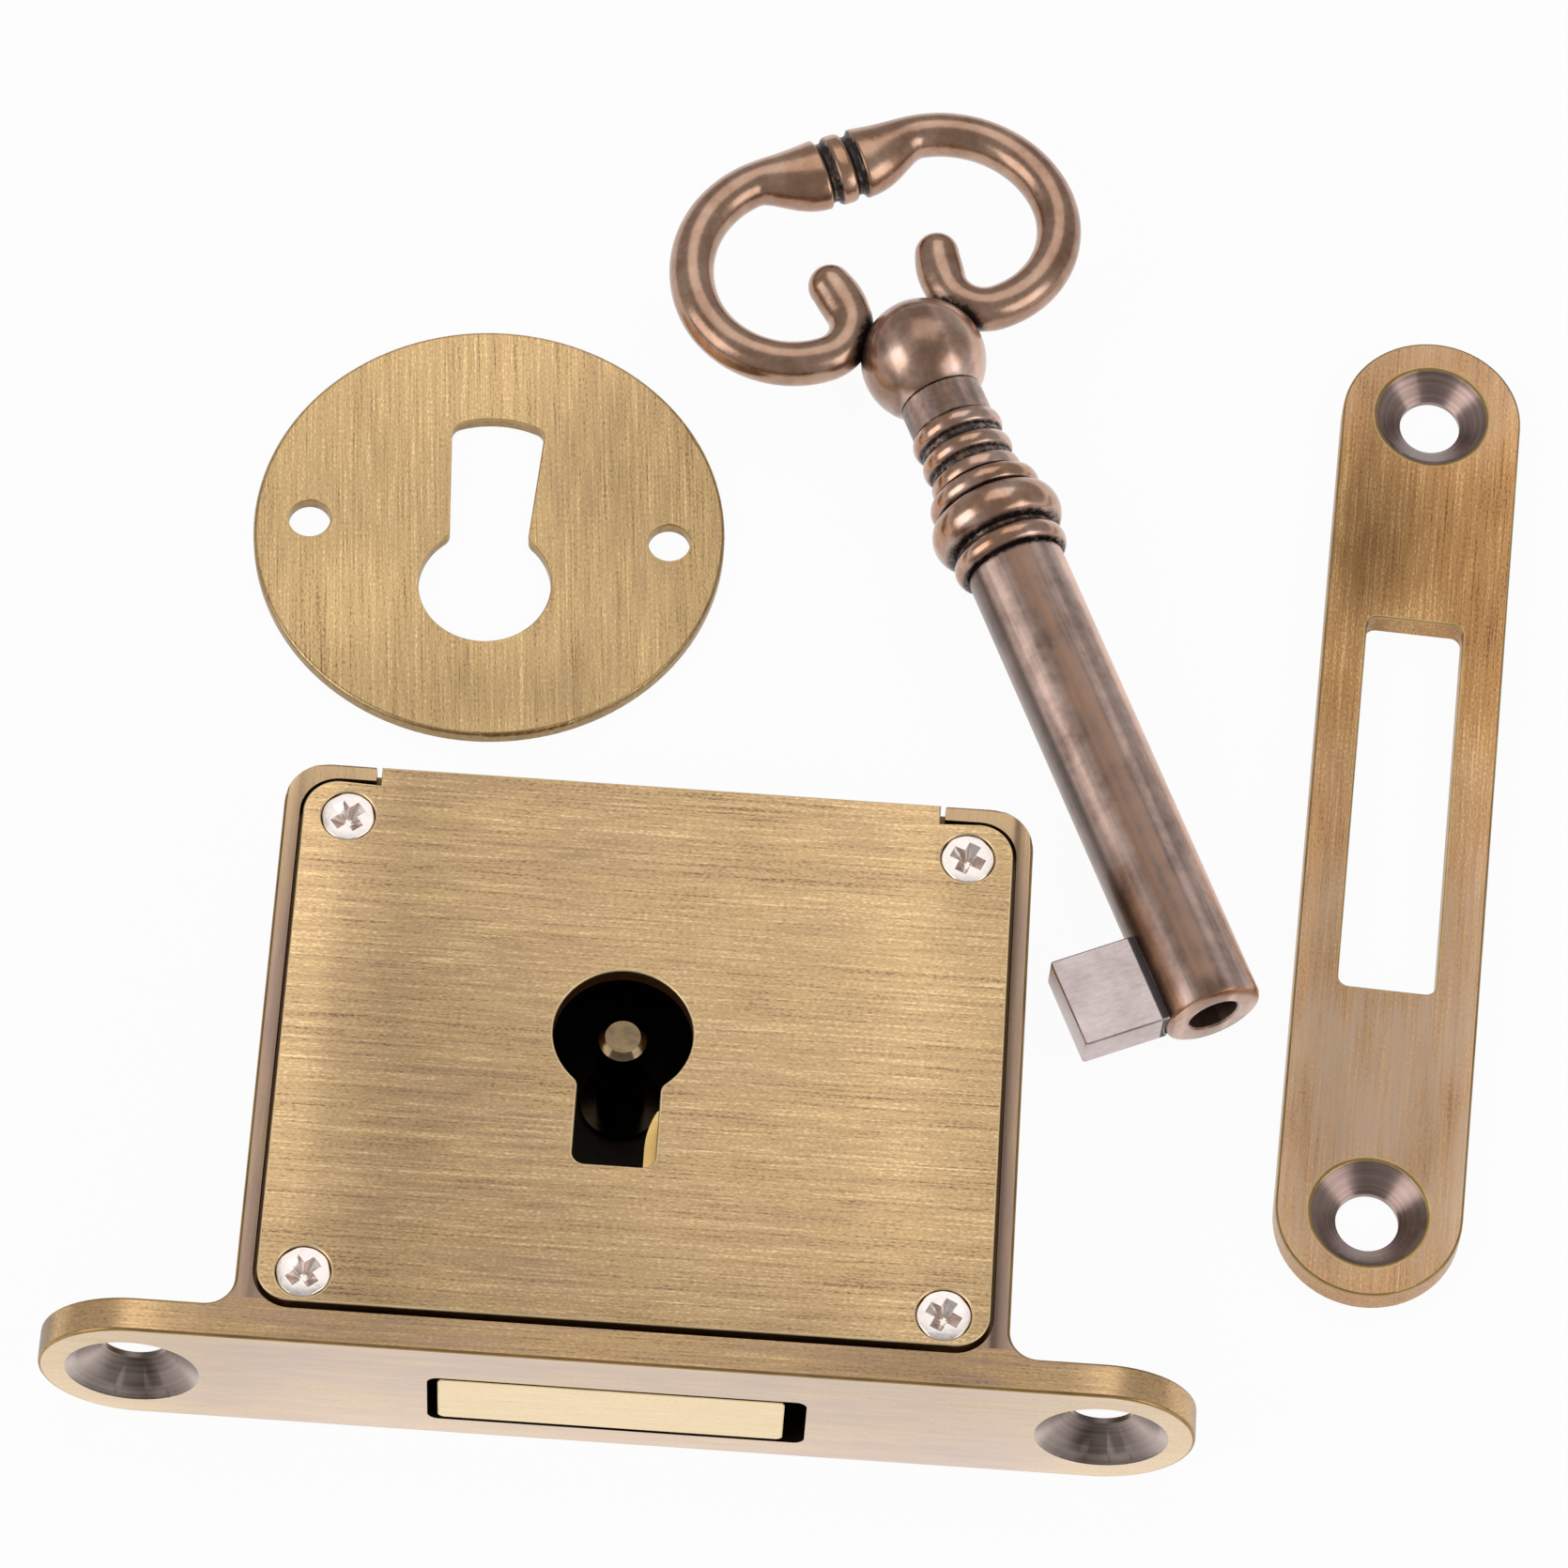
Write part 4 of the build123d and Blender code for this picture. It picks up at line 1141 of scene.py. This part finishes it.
@dataclass
class Key:
    """The hollow key: a turned shank, a scrolled wire bow and a plain bit.

    Distances run along the shank, from near the ball's middle to the tip. A bead is its start, end,
    edge radius and bulge, and a groove its start, end and radius. The points of a neck's foot or head
    and of a wall in the band are a distance from where it stands, an inset and how hollow they are.
    """

    shop: Workshop
    middle: Pair = (24.6, 70.5)
    turn_deg: float = 24.1
    tip: float = 57.9
    bow_top: float = 20.05
    barrel_r: float = 3.675
    barrel_steps: int = 24
    ball_r: float = 4.7
    ball_at: float = 0.3
    ball_steps: int = 40
    ball_worn: float = 0.55
    neck_r: float = 3.15
    neck_end: float = 6.7
    neck_dark: float = 0.24
    neck_marks: Triple = (0.25, 0.5, 0.75)
    neck_foot: tuple[Triple, ...] = ((0.08, 0.12, 1.0), (0.22, 0.0, 0.2))
    neck_head: tuple[Triple, ...] = ((-0.22, 0.0, 0.2), (-0.06, 0.1, 1.0))
    bead_steps: int = 14
    bead_round: float = 0.6
    groove_wide: float = 0.5
    groove_hump: Pair = (0.06, 0.55)
    groove_side: float = 0.12
    barrel_foot: float = 0.25
    bore_r: float = 1.85
    bore_depth: float = 16.0
    bore_edge: float = 0.15
    chamfer: float = 0.45
    shank_sides: int = 128
    shank_sharp_deg: float = 30.0
    bit_eased: float = 0.12
    wire_r: float = 1.68
    wire_worn: float = 0.2
    wire_worn_side: float = 0.55
    wire_sides: int = 40
    cap_steps: int = 8
    cap_blunt: float = 0.35
    cap_worn: float = 0.5
    scroll_low: float = 2.2
    side_x: float = 6.9
    side_r: float = 7.37
    top_r: float = 8.8
    top_trim: float = 0.999
    curl_r: float = 3.0
    end_r: float = 10.0
    end_rise: float = 2.8
    end_swell: float = 0.06
    arc_steps: tuple[int, int, int, int] = (12, 24, 32, 40)
    swell_x: Pair = (6.9, 1.6)
    band_r: float = 2.84
    band_deep: float = 2.24
    band_drop: float = 0.9
    band_worn: float = 0.3
    band_steps: int = 24
    groove_end: float = 1.52
    groove_wall: tuple[Triple, ...] = ((-0.08, 0.12, 0.6), (-0.18, 0.3, 1.0), (-0.4, 0.4, 1.0))
    bead_half: float = 0.58
    bead_worn: float = 0.7
    bead_wall: tuple[Triple, ...] = (
        (0.3, 0.4, 1.0), (0.12, 0.3, 1.0), (0.02, 0.12, 0.5), (-0.12, 0.03, 0.0), (-0.3, 0.0, 0.0),
    )
    bow_sharp_deg: float = 60.0
    crease: Pair = (0.35, 0.9)
    beads: tuple[Station, ...] = (
        (6.7, 7.95, 3.25, 0.25),
        (8.75, 10.0, 3.25, 0.25),
        (10.85, 11.8, 3.42, 0.08),
        (12.2, 13.6, 3.95, 0.3),
        (13.95, 16.75, 4.35, 0.65),
        (17.35, 18.85, 4.0, 0.35),
    )
    grooves: tuple[Triple, ...] = (
        (7.95, 8.75, 3.1),
        (10.0, 10.85, 3.1),
        (11.8, 12.2, 3.1),
        (13.6, 13.95, 3.8),
        (16.75, 17.35, 3.8),
        (18.85, 19.15, 3.5),
    )

    def __post_init__(self) -> None:
        """Work out how the key lies: on its widest bead and on the end of its barrel."""
        start, end, edge_r, bulge = max(self.beads, key=lambda bead: bead[2] + bead[3])
        widest, at = edge_r + bulge, (start + end) / 2
        dip = math.atan2(widest - self.barrel_r, self.tip - at)
        self.turn = Euler((dip, 0.0, math.radians(self.turn_deg)))
        half = (self.tip - self.bow_top) / 2
        lowest = math.sin(dip) * (half - at) - math.cos(dip) * widest
        lift = Vector((*self.middle, -lowest)) + ORIGIN
        turned = self.turn.to_matrix().to_4x4() @ Matrix.Translation((0, half, 0))
        self.laid = Matrix.Scale(MM, 4) @ Matrix.Translation(lift) @ turned
        self.centre = self.laid @ Vector((0, 0, 0))

    def build(self) -> None:
        """Make and dress the key's three pieces."""
        tones = (tone(130, 95, 76), tone(200, 167, 146), tone(188, 134, 92), tone(54, 44, 40))
        bow = AgedBronze("bow_bronze", *tones, self.centre, self.turn).build()
        shank = AgedBronze(
            "shank_bronze", tone(118, 96, 88), tone(204, 182, 174), *tones[2:], self.centre, self.turn,
            lengthwise=0.4,
            # painted light and shade: bands round the barrel standing in for the lamps' reflections
            painted_shading_x=((-3.7, 0.7), (-3.3, 0.3), (-2.9, 1.4), (-2.45, 1.75), (-2.0, 1.25), (-1.5, 1.02),
                      (-1.0, 0.8), (-0.5, 0.58), (0.0, 0.64), (0.6, 0.75), (1.15, 1.75), (1.7, 1.2),
                      (2.3, 1.35), (3.0, 1.85), (3.7, 1.5)),
            coppery_x=((-3.7, 0.2), (-1.6, 0.2), (-1.0, 0.8), (0.2, 0.7), (0.9, 0.2), (2.4, 0.1),
                       (3.2, 0.6), (3.7, 0.6)),
            rough=0.21, matt=0.19,
        ).build()
        ground = PlainMetal(
            "bit_metal", tone(164, 146, 142), tone(236, 222, 220), 0.36, (Marks((1.6, 4.0, 5.0)), STAIN),
            relief_mm=0.006, centre=self.centre, turn=self.turn,
            # painted shade: a near-black band where the bit meets the barrel
            painted_shading_x=((-10.0, 1.0), (-4.05, 1.0), (-3.92, 0.1), (-3.5, 0.06)),
        ).build()
        edge = rubbed_edge("bit_edge", tone(120, 100, 92), tone(214, 196, 188))
        self._shank(shank)
        self._bow(bow)
        mesh = self.shop.softened("key_bit", self.bit_eased, lambda point: True)
        paint(mesh, (ground, edge))
        self.shop.add("key_flag", mesh, "key", "bit_metal", ["key_bit"])

    def _head_profile(self) -> list[Station]:
        """Work out the outline of the ball and the neck.

        Returns:
            (radius, distance, hollow, worn) points.
        """
        points = []
        for angle in spread(math.pi, math.asin(self.neck_r / self.ball_r), self.ball_steps):
            side, at = max(math.sin(angle), 0.0), self.ball_at + self.ball_r * math.cos(angle)
            points.append((self.ball_r * side, at, 0.0, self.ball_worn * side**0.5))
        start, end = points[-1][1], self.neck_end
        neck = [
            *((start + off, inset, dark) for off, inset, dark in self.neck_foot),
            *((start + share * (end - start), 0.0, self.neck_dark) for share in self.neck_marks),
            *((end + off, inset, dark) for off, inset, dark in self.neck_head),
        ]
        return points + [(self.neck_r - inset, at, dark, 0.0) for at, inset, dark in neck]

    def _bead_profile(self) -> list[Station]:
        """Work out the outline of the beads and the grooves between them.

        Returns:
            (radius, distance, hollow, worn) points.
        """
        points = []
        for (start, end, edge_r, bulge), (dip_start, dip_end, dip_r) in zip(self.beads, self.grooves):
            for share in spread(0.0, 1.0, self.bead_steps):
                inner = 0.0 < share < 1.0
                rise = math.sin(math.pi * share) ** self.bead_round if inner else 0.0
                at, dark = start + share * (end - start), 0.0 if rise else 0.5
                points.append((edge_r + bulge * rise, at, dark, 0.25 + 0.75 * rise))
            width, low, side = dip_end - dip_start, (0.0, 1.0), self.groove_side
            hump = self.groove_hump if width > self.groove_wide else low
            for share, (rise, dark) in ((side, low), (0.5, hump), (1.0 - side, low)):
                points.append((dip_r + rise, dip_start + share * width, dark, 0.0))
        return points

    def _barrel_profile(self) -> list[Station]:
        """Work out the outline of the barrel and its bore.

        Returns:
            (radius, distance, hollow, worn) points.
        """
        start = self.grooves[-1][1]
        plain = spread(start + self.barrel_foot, self.tip - self.chamfer, self.barrel_steps)
        return [
            (self.barrel_r, start, 0.7, 0.0),
            *((self.barrel_r, at, 0.0, 0.0) for at in plain),
            (self.barrel_r - self.chamfer * 0.35, self.tip - self.chamfer * 0.3, 0.0, 0.7),
            (self.barrel_r - self.chamfer, self.tip, 0.0, 0.6),
            (self.bore_r + self.bore_edge, self.tip, 0.0, 0.3),
            (self.bore_r, self.tip - self.bore_edge, 0.3, 0.0),
            (self.bore_r, self.tip - self.bore_depth * 0.4, 1.0, 0.0),
            (self.bore_r, self.tip - self.bore_depth, 1.0, 0.0),
            (0.0, self.tip - self.bore_depth, 1.0, 0.0),
        ]

    @staticmethod
    def _mark(mesh: bpy.types.Mesh, hollow: Sequence[float], worn: Sequence[float]) -> None:
        """Write on each of a mesh's corners how hollow and how worn it is."""
        for name, values in (("hollow", hollow), ("worn", worn)):
            mesh.attributes.new(name, "FLOAT", "POINT").data.foreach_set("value", values)

    def _shank(self, bronze: bpy.types.Material) -> None:
        """Ball, beads and barrel: the outline turned round by a node tree.

        Args:
            bronze: the shank's finish.
        """
        outline = self._head_profile() + self._bead_profile() + self._barrel_profile()
        radii, places, hollow, worn = zip(*outline)
        ring_r = 1.0
        mesh = bpy.data.meshes.new("shank_outline")
        mesh.from_pydata(
            [(radius - ring_r, -at, 0.0) for radius, at in zip(radii, places)],
            [(k, k + 1) for k in range(len(outline) - 1)], [],
        )
        self._mark(mesh, hollow, worn)
        recipe = Recipe("turned_shank")
        radius = recipe.size("Ring radius", ring_r)
        sides = recipe.size("Sides", self.shank_sides, "NodeSocketInt")
        drawn = recipe.node("GeometryNodeMeshToCurve", {}, {0: recipe.given})
        values = {"Resolution": sides, "Radius": radius}
        ring = recipe.node("GeometryNodeCurvePrimitiveCircle", {}, values)
        turned = recipe.node("GeometryNodeCurveToMesh", {}, {"Curve": ring, "Profile Curve": drawn})
        welded = recipe.node("GeometryNodeMergeByDistance", {}, {0: turned, "Distance": STITCH})
        shank = recipe.run(mesh, welded, bronze)
        shank.transform(self.laid @ Matrix.Rotation(math.radians(90), 4, "X"))
        scroll = [point for point, _, _ in self._scroll_points()]
        self._crease_patina_and_shade(shank, scroll + [Vector((-p.x, p.y, p.z)) for p in scroll], self.wire_r)
        closed(shank, self.shank_sharp_deg)
        self.shop.add("turned_shank", shank, "key", "key_bronze", ["key_shank"])

    def _swell(self, x: float) -> Triple:
        """The wire as it swells towards the band at x.

        Args:
            x: the distance from the bow's middle.

        Returns:
            How far it has swollen from 0 to 1, its radius in the bow's plane and its radius across it.
        """
        start, end = self.swell_x
        share = min(max((start - x) / (start - end), 0.0), 1.0)
        swell = share * share * (3 - 2 * share)
        widen, deepen = self.band_r - self.wire_r, self.band_deep - self.wire_r
        return swell, self.wire_r + widen * swell, self.wire_r + deepen * swell

    def _scroll_points(self) -> list[tuple[Vector, float, float]]:
        """Work out the right scroll's centre line, from its curled end to the bow's top.

        Returns:
            (point, radius in the bow's plane, radius across it) points.
        """
        quarter = math.pi / 2
        lean = math.asin(self.end_rise / self.end_r)
        end_x, curl_y = self.side_x - self.curl_r + self.end_r, self.scroll_low + self.curl_r
        top_x, side_y = self.side_x + self.side_r - self.top_r, self.scroll_low + self.side_r
        arcs = (
            (end_x, curl_y, self.end_r, 2 * quarter - lean, 2 * quarter, self.end_swell),
            (self.side_x, curl_y, self.curl_r, 2 * quarter, 3 * quarter, 0.0),
            (self.side_x, side_y, self.side_r, -quarter, 0.0, 0.0),
        )
        points = []
        for (x, y, radius, start, end, swollen), steps in zip(arcs, self.arc_steps):
            for a in spread(start, end, steps)[:-1]:
                swell = 1.0 + swollen * math.sin(math.pi * (a - start) / (end - start))
                at = Vector((x + radius * math.cos(a), y + radius * math.sin(a), 0))
                points.append((at, self.wire_r * swell, self.wire_r))
        for a in spread(0.0, quarter, self.arc_steps[-1]):
            out = Vector((math.cos(a), math.sin(a) * self.top_trim, 0))
            swell, radius, deep = self._swell(top_x + self.top_r * out.x)
            at = Vector((top_x, side_y, 0)) + (self.top_r - self.band_drop * swell) * out
            points.append((at, radius, deep))
        return points

    def _band_points(self, start_x: float) -> list[tuple[Vector, float, float, float, float]]:
        """Work out the banded middle of the bow.

        Args:
            start_x: where the scroll's centre line ends.

        Returns:
            (point, radius, radius across, hollow, worn) points towards x = 0.
        """
        top = self.bow_top - self.wire_r
        points = []
        for x in spread(start_x, self.groove_end, self.band_steps)[1:]:
            swell, radius, deep = self._swell(x)
            worn = self.wire_worn + self.band_worn * swell
            points.append((Vector((x, top - self.band_drop * swell, 0)), radius, deep, 0.0, worn))
        walls = [
            *((self.groove_end + off, inset, dark) for off, inset, dark in self.groove_wall),
            *((self.bead_half + off, inset, dark) for off, inset, dark in self.bead_wall),
            (0.0, 0.0, 0.0),
        ]
        for x, inset, dark in walls:
            at, worn = Vector((x, top - self.band_drop, 0)), 0.0 if dark else self.bead_worn
            points.append((at, self.band_r - inset, self.band_deep - inset, dark, worn))
        return points

    def _bow(self, bronze: bpy.types.Material) -> None:
        """The two scrolls and the banded middle between them, one swept skin.

        Args:
            bronze: the bow's finish.
        """
        scroll = self._scroll_points()
        start, ahead = scroll[0][0], (scroll[1][0] - scroll[0][0]).normalized()
        right = []
        for k in range(self.cap_steps):
            a = math.pi / 2 * (1 - (k + self.cap_blunt) / self.cap_steps)
            radius = self.wire_r * math.cos(a)
            at = start - ahead * self.wire_r * math.sin(a)
            right.append((at, radius, radius, 0.0, self.cap_worn))
        right += [(point, radius, deep, 0.0, self.wire_worn) for point, radius, deep in scroll]
        right += self._band_points(scroll[-1][0].x)
        line = right + [(Vector((-p.x, p.y, p.z)), *rest) for p, *rest in reversed(right[:-1])]
        corners, hollow, worn_off = [], [], []
        for k, (point, radius, deep, dark, worn) in enumerate(line):
            ahead = line[min(k + 1, len(line) - 1)][0] - line[max(k - 1, 0)][0]
            side = Vector((ahead.y, -ahead.x, 0)).normalized()
            for a in spread(0.0, math.tau, self.wire_sides)[:-1]:
                corners.append(point + side * (radius * math.cos(a)) + Vector((0, 0, deep * math.sin(a))))
                hollow.append(dark)
                worn_off.append(worn * (self.wire_worn_side + (1.0 - self.wire_worn_side) * math.sin(a)))
        mesh = lofted("bow_skin", corners, self.wire_sides)
        self._mark(mesh, hollow, worn_off)
        mesh.transform(self.laid)
        mesh.materials.append(bronze)
        self._crease_patina_and_shade(mesh, [Vector((0, -self.ball_at, 0))], self.ball_r)
        closed(mesh, self.bow_sharp_deg)
        self.shop.add("scrolled_bow", mesh, "key", "key_bronze", ["key_bow"])

    def _crease_patina_and_shade(self, mesh: bpy.types.Mesh, centres: Sequence[Vector], radius: float) -> None:
        """Blacken a mesh of the key where it runs into another piece of it, as black patina and painted
        shade.

        Args:
            mesh: the mesh, already laid in the frame.
            centres: points of the other piece's centre line, in the key's own millimetres.
            radius: the other piece's radius.
        """
        back = self.laid.inverted()
        dark_gap, fade = self.crease
        for vertex, value in zip(mesh.vertices, mesh.attributes["hollow"].data):
            here = back @ vertex.co
            gap = min((here - centre).length for centre in centres) - radius
            # black patina and painted shade, deepest where the pieces meet
            dark = 1.0 - min(max((gap - dark_gap) / fade, 0.0), 1.0)
            value.value = max(value.value, dark * dark)


@dataclass
class Escutcheon:
    """The round key plate."""

    shop: Workshop
    centre: Pair = (-14.4, 72.8)
    lines_deg: float = 5.0
    thick: float = 1.0
    eased: float = 0.1
    wall_lean: float = 0.6

    def build(self) -> None:
        """Make and dress the plate."""
        brushed = BrushedBrass(
            "escutcheon_brass", tone(140, 112, 76), tone(198, 166, 119), tone(240, 208, 152),
            brushing=Brushing.ALONG_Y, centre=place(*self.centre), turn_deg=self.lines_deg,
            # painted light and shade: lighter towards +y, darker at the +x side
            painted_shading_x=((-17.5, 1.0), (-10.0, 0.98), (2.0, 1.06), (8.0, 1.04), (17.5, 0.9)),
            painted_shading_y=((-17.5, 0.94), (-8.0, 0.97), (4.0, 1.0), (17.5, 1.16)),
            patina=tone(144, 116, 92), patina_axis=0, patina_level=0.5,
            patina_stops=((-17.5, 0.2), (0.0, 0.5), (9.0, 1.2), (17.5, 1.0)), cloud=0.2, speck=0.6,
            stains=((9.0, 5.0, 7.0, 8.0, 0.12), (1.0, -14.0, 10.0, 4.0, 0.14),
                    (-11.0, -6.0, 6.0, 6.0, -0.2)),
        ).build()
        edge = rubbed_edge("escutcheon_edge", tone(168, 134, 84), tone(230, 196, 136))
        # painted shade: the plate's wall, darker than its face
        wall = blackened_and_shaded("escutcheon_wall", tone(120, 96, 62), tone(200, 168, 118), 0.35)
        mesh = self.shop.softened("escutcheon", self.eased, lambda point: point.z > self.thick - NEAR)
        lean = self.wall_lean
        paint(mesh, (brushed, edge, wall), lambda centre, normal: 2 if abs(normal.z) < lean else 0)
        self.shop.add("key_plate", mesh, "escutcheon", "escutcheon_brass", ["escutcheon"])


@dataclass
class StrikePlate:
    """The plate that the bolt shoots into."""

    shop: Workshop
    centre: Pair = (53.8, 54.4)
    turn_deg: float = -2.9
    thick: float = 2.0
    hole_reach: float = 33.5
    sink_r: float = 4.3
    eased: float = 0.18

    def build(self) -> None:
        """Make and dress the plate."""
        brushed = BrushedBrass(
            "strike_brass", tone(112, 74, 44), tone(178, 132, 82), tone(222, 182, 124),
            brushing=Brushing.ALONG_Y, centre=place(*self.centre), turn_deg=self.turn_deg,
            # painted light and shade: painted highlights along the legs' outer edges and towards both
            # ends
            painted_shading_x=((-6.7, 1.16), (-5.9, 1.06), (-5.0, 0.95), (-3.3, 0.92), (0.0, 0.98), (3.5, 1.0),
                      (5.2, 1.06), (6.7, 1.22)),
            painted_shading_y=((-40.0, 1.2), (-34.0, 1.05), (-28.0, 0.96), (-16.0, 0.97), (0.0, 1.0), (12.0, 0.96),
                      (18.0, 0.91), (25.0, 0.93), (29.0, 1.0), (33.0, 1.1), (40.0, 1.22)),
            patina=tone(180, 153, 128), patina_level=0.9, patina_even=1.0,
            patina_stops=((-40.0, 0.4), (-34.0, 0.8), (-24.0, 0.9), (-12.0, 0.8), (0.0, 0.35),
                          (10.0, 0.1), (28.0, 0.1), (35.0, 0.45), (40.0, 0.6)),
            stains=((-4.5, 23.0, 6.0, 12.0, 0.46), (-6.5, 8.0, 3.0, 10.0, 0.2),
                    (6.5, 33.0, 4.0, 6.0, -0.12)),
            streak=1.3, cloud=0.6, cloud_mm=6.0,
        ).build()
        edge = rubbed_edge("strike_edge", tone(150, 120, 76), tone(206, 174, 122))
        sink = TurnedCone(
            "strike_cone", tone(100, 80, 74), tone(178, 152, 143), place(*self.centre),
            Euler((0, 0, math.radians(90 + self.turn_deg))), self.hole_reach,
        ).build()
        mesh = self.shop.softened("strike_plate", self.eased, lambda point: point.z > self.thick - NEAR)
        middle = Vector((*self.centre, 0.0))
        back = Matrix.Rotation(-math.radians(self.turn_deg), 3, "Z")

        def zone(centre: Vector, normal: Vector) -> int:
            """Which finish a face of the plate has.

            Args:
                centre: the face's middle.
                normal: the way it looks.

            Returns:
                0 for the brushed brass and 2 for a sunk cone.
            """
            here = back @ (centre - middle)
            off = math.hypot(here.x, abs(here.y) - self.hole_reach)
            return 2 if off < self.sink_r and abs(normal.z) < FACING else 0

        paint(mesh, (brushed, edge, sink), zone)
        self.shop.add("striking_plate", mesh, "strike_plate", "strike_brass", ["strike_plate"])


@dataclass
class Studio:
    """A white table, soft lamps and the camera."""

    tilt_deg: float = 29.20
    heading_deg: float = -0.45
    roll_deg: float = 4.33
    target: Pair = (8.71, 53.53)
    distance: float = 550.0
    focal_mm: float = 172.5
    sensor_mm: float = 36.0
    clip: Pair = (0.01, 10.0)
    world_level: float = 0.5
    table_white: float = 0.93
    table_glow: float = 0.95
    table_half: float = 1.5
    table_gap_mm: float = 0.03
    lamps: tuple[tuple[str, Triple, float, float], ...] = (
        ("left_box", (-0.85, -0.35, 0.55), 0.7, 2.0),
        ("right_box", (0.8, -0.4, 0.5), 0.6, 1.8),
        ("back_box", (0.0, 0.55, 0.95), 0.8, 0.9),
    )

    def build(self) -> None:
        """Set up everything that isn't the object."""
        self._table()
        self._world()
        self._lamps()
        self._camera()
        bpy.context.scene.view_settings.view_transform = "Standard"

    def _table(self) -> None:
        """The table's top, white to the camera but still holding the shadows, and clear from below."""
        graph = Surface("table_white")
        camera, glossy, through = (
            graph.node("ShaderNodeLightPath", output=f"Is {way} Ray")
            for way in ("Camera", "Glossy", "Transmission")
        )
        seen = camera.math("MAXIMUM", glossy).math("MAXIMUM", through)
        matt = graph.node("ShaderNodeBsdfDiffuse", inputs={"Color": (*(self.table_white,) * 3, 1.0)})
        glow = graph.node("ShaderNodeEmission", inputs={"Color": WHITE, "Strength": 1.0})
        mixed = graph.node("ShaderNodeMixShader", inputs={0: seen * self.table_glow, 1: matt, 2: glow})
        from_below = graph.node("ShaderNodeNewGeometry", output="Backfacing")
        clear = graph.node("ShaderNodeBsdfTransparent", inputs={"Color": WHITE})
        surface = graph.node("ShaderNodeMixShader", inputs={0: from_below, 1: mixed, 2: clear})
        graph.make("ShaderNodeOutputMaterial", inputs={"Surface": surface})
        half, level = self.table_half, -self.table_gap_mm * MM
        mesh = bpy.data.meshes.new("table")
        spots = [(x * half, y * half, level) for x, y in ((-1, -1), (1, -1), (1, 1), (-1, 1))]
        mesh.from_pydata(spots, [], [(0, 1, 2, 3)])
        mesh.materials.append(graph.material)
        put("table", mesh)

    def _world(self) -> None:
        """An even white surround, fully white to the camera."""
        world = bpy.data.worlds.new("surround")
        world.use_nodes = True
        bpy.context.scene.world = world
        graph = Graph(world.node_tree)
        seen = graph.node("ShaderNodeLightPath", output="Is Camera Ray")
        values = {"Value": seen, "To Min": self.world_level, "To Max": 1.0}
        level = graph.node("ShaderNodeMapRange", inputs=values)
        back = graph.node("ShaderNodeBackground", inputs={"Strength": level})
        graph.make("ShaderNodeOutputWorld", inputs={0: back})

    def _lamps(self) -> None:
        """Three soft boxes: one at the left, one at the right and one that the flat faces mirror."""
        for name, spot, size, radiance in self.lamps:
            light = bpy.data.lights.new(name, "AREA")
            light.size, light.energy = size, radiance * math.pi * size * size
            lamp = put(name, light)
            lamp.location = spot
            lamp.rotation_euler = (-Vector(spot)).to_track_quat("-Z", "Y").to_euler()

    def _camera(self) -> None:
        """The camera, from the place that the lock's corners give."""
        tilt, roll = math.radians(self.tilt_deg), math.radians(self.roll_deg)
        turn = Matrix.Rotation(math.radians(self.heading_deg), 3, "Z")
        back = turn @ Vector((0, -math.sin(tilt), math.cos(tilt)))
        right = turn @ Vector((1, 0, 0))
        up = back.cross(right)
        right_rolled = right * math.cos(roll) + up * math.sin(roll)
        up_rolled = up * math.cos(roll) - right * math.sin(roll)
        axes = Matrix((right_rolled, up_rolled, back)).transposed().to_4x4()
        data = bpy.data.cameras.new("camera")
        data.lens, data.sensor_width = self.focal_mm, self.sensor_mm
        data.clip_start, data.clip_end = self.clip
        camera = put("camera", data)
        camera.matrix_world = Matrix.Translation(place(*self.target) + back * self.distance * MM) @ axes
        bpy.context.scene.camera = camera


def main() -> None:
    """Build the studio and every sub-assembly."""
    logging.basicConfig(level=logging.INFO, format="%(name)s: %(message)s")
    shop = Workshop()
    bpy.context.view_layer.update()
    Studio().build()
    for part in (LockCase, BoltWork, Key, Escutcheon, StrikePlate):
        part(shop).build()


if __name__ == "__main__":
    main()
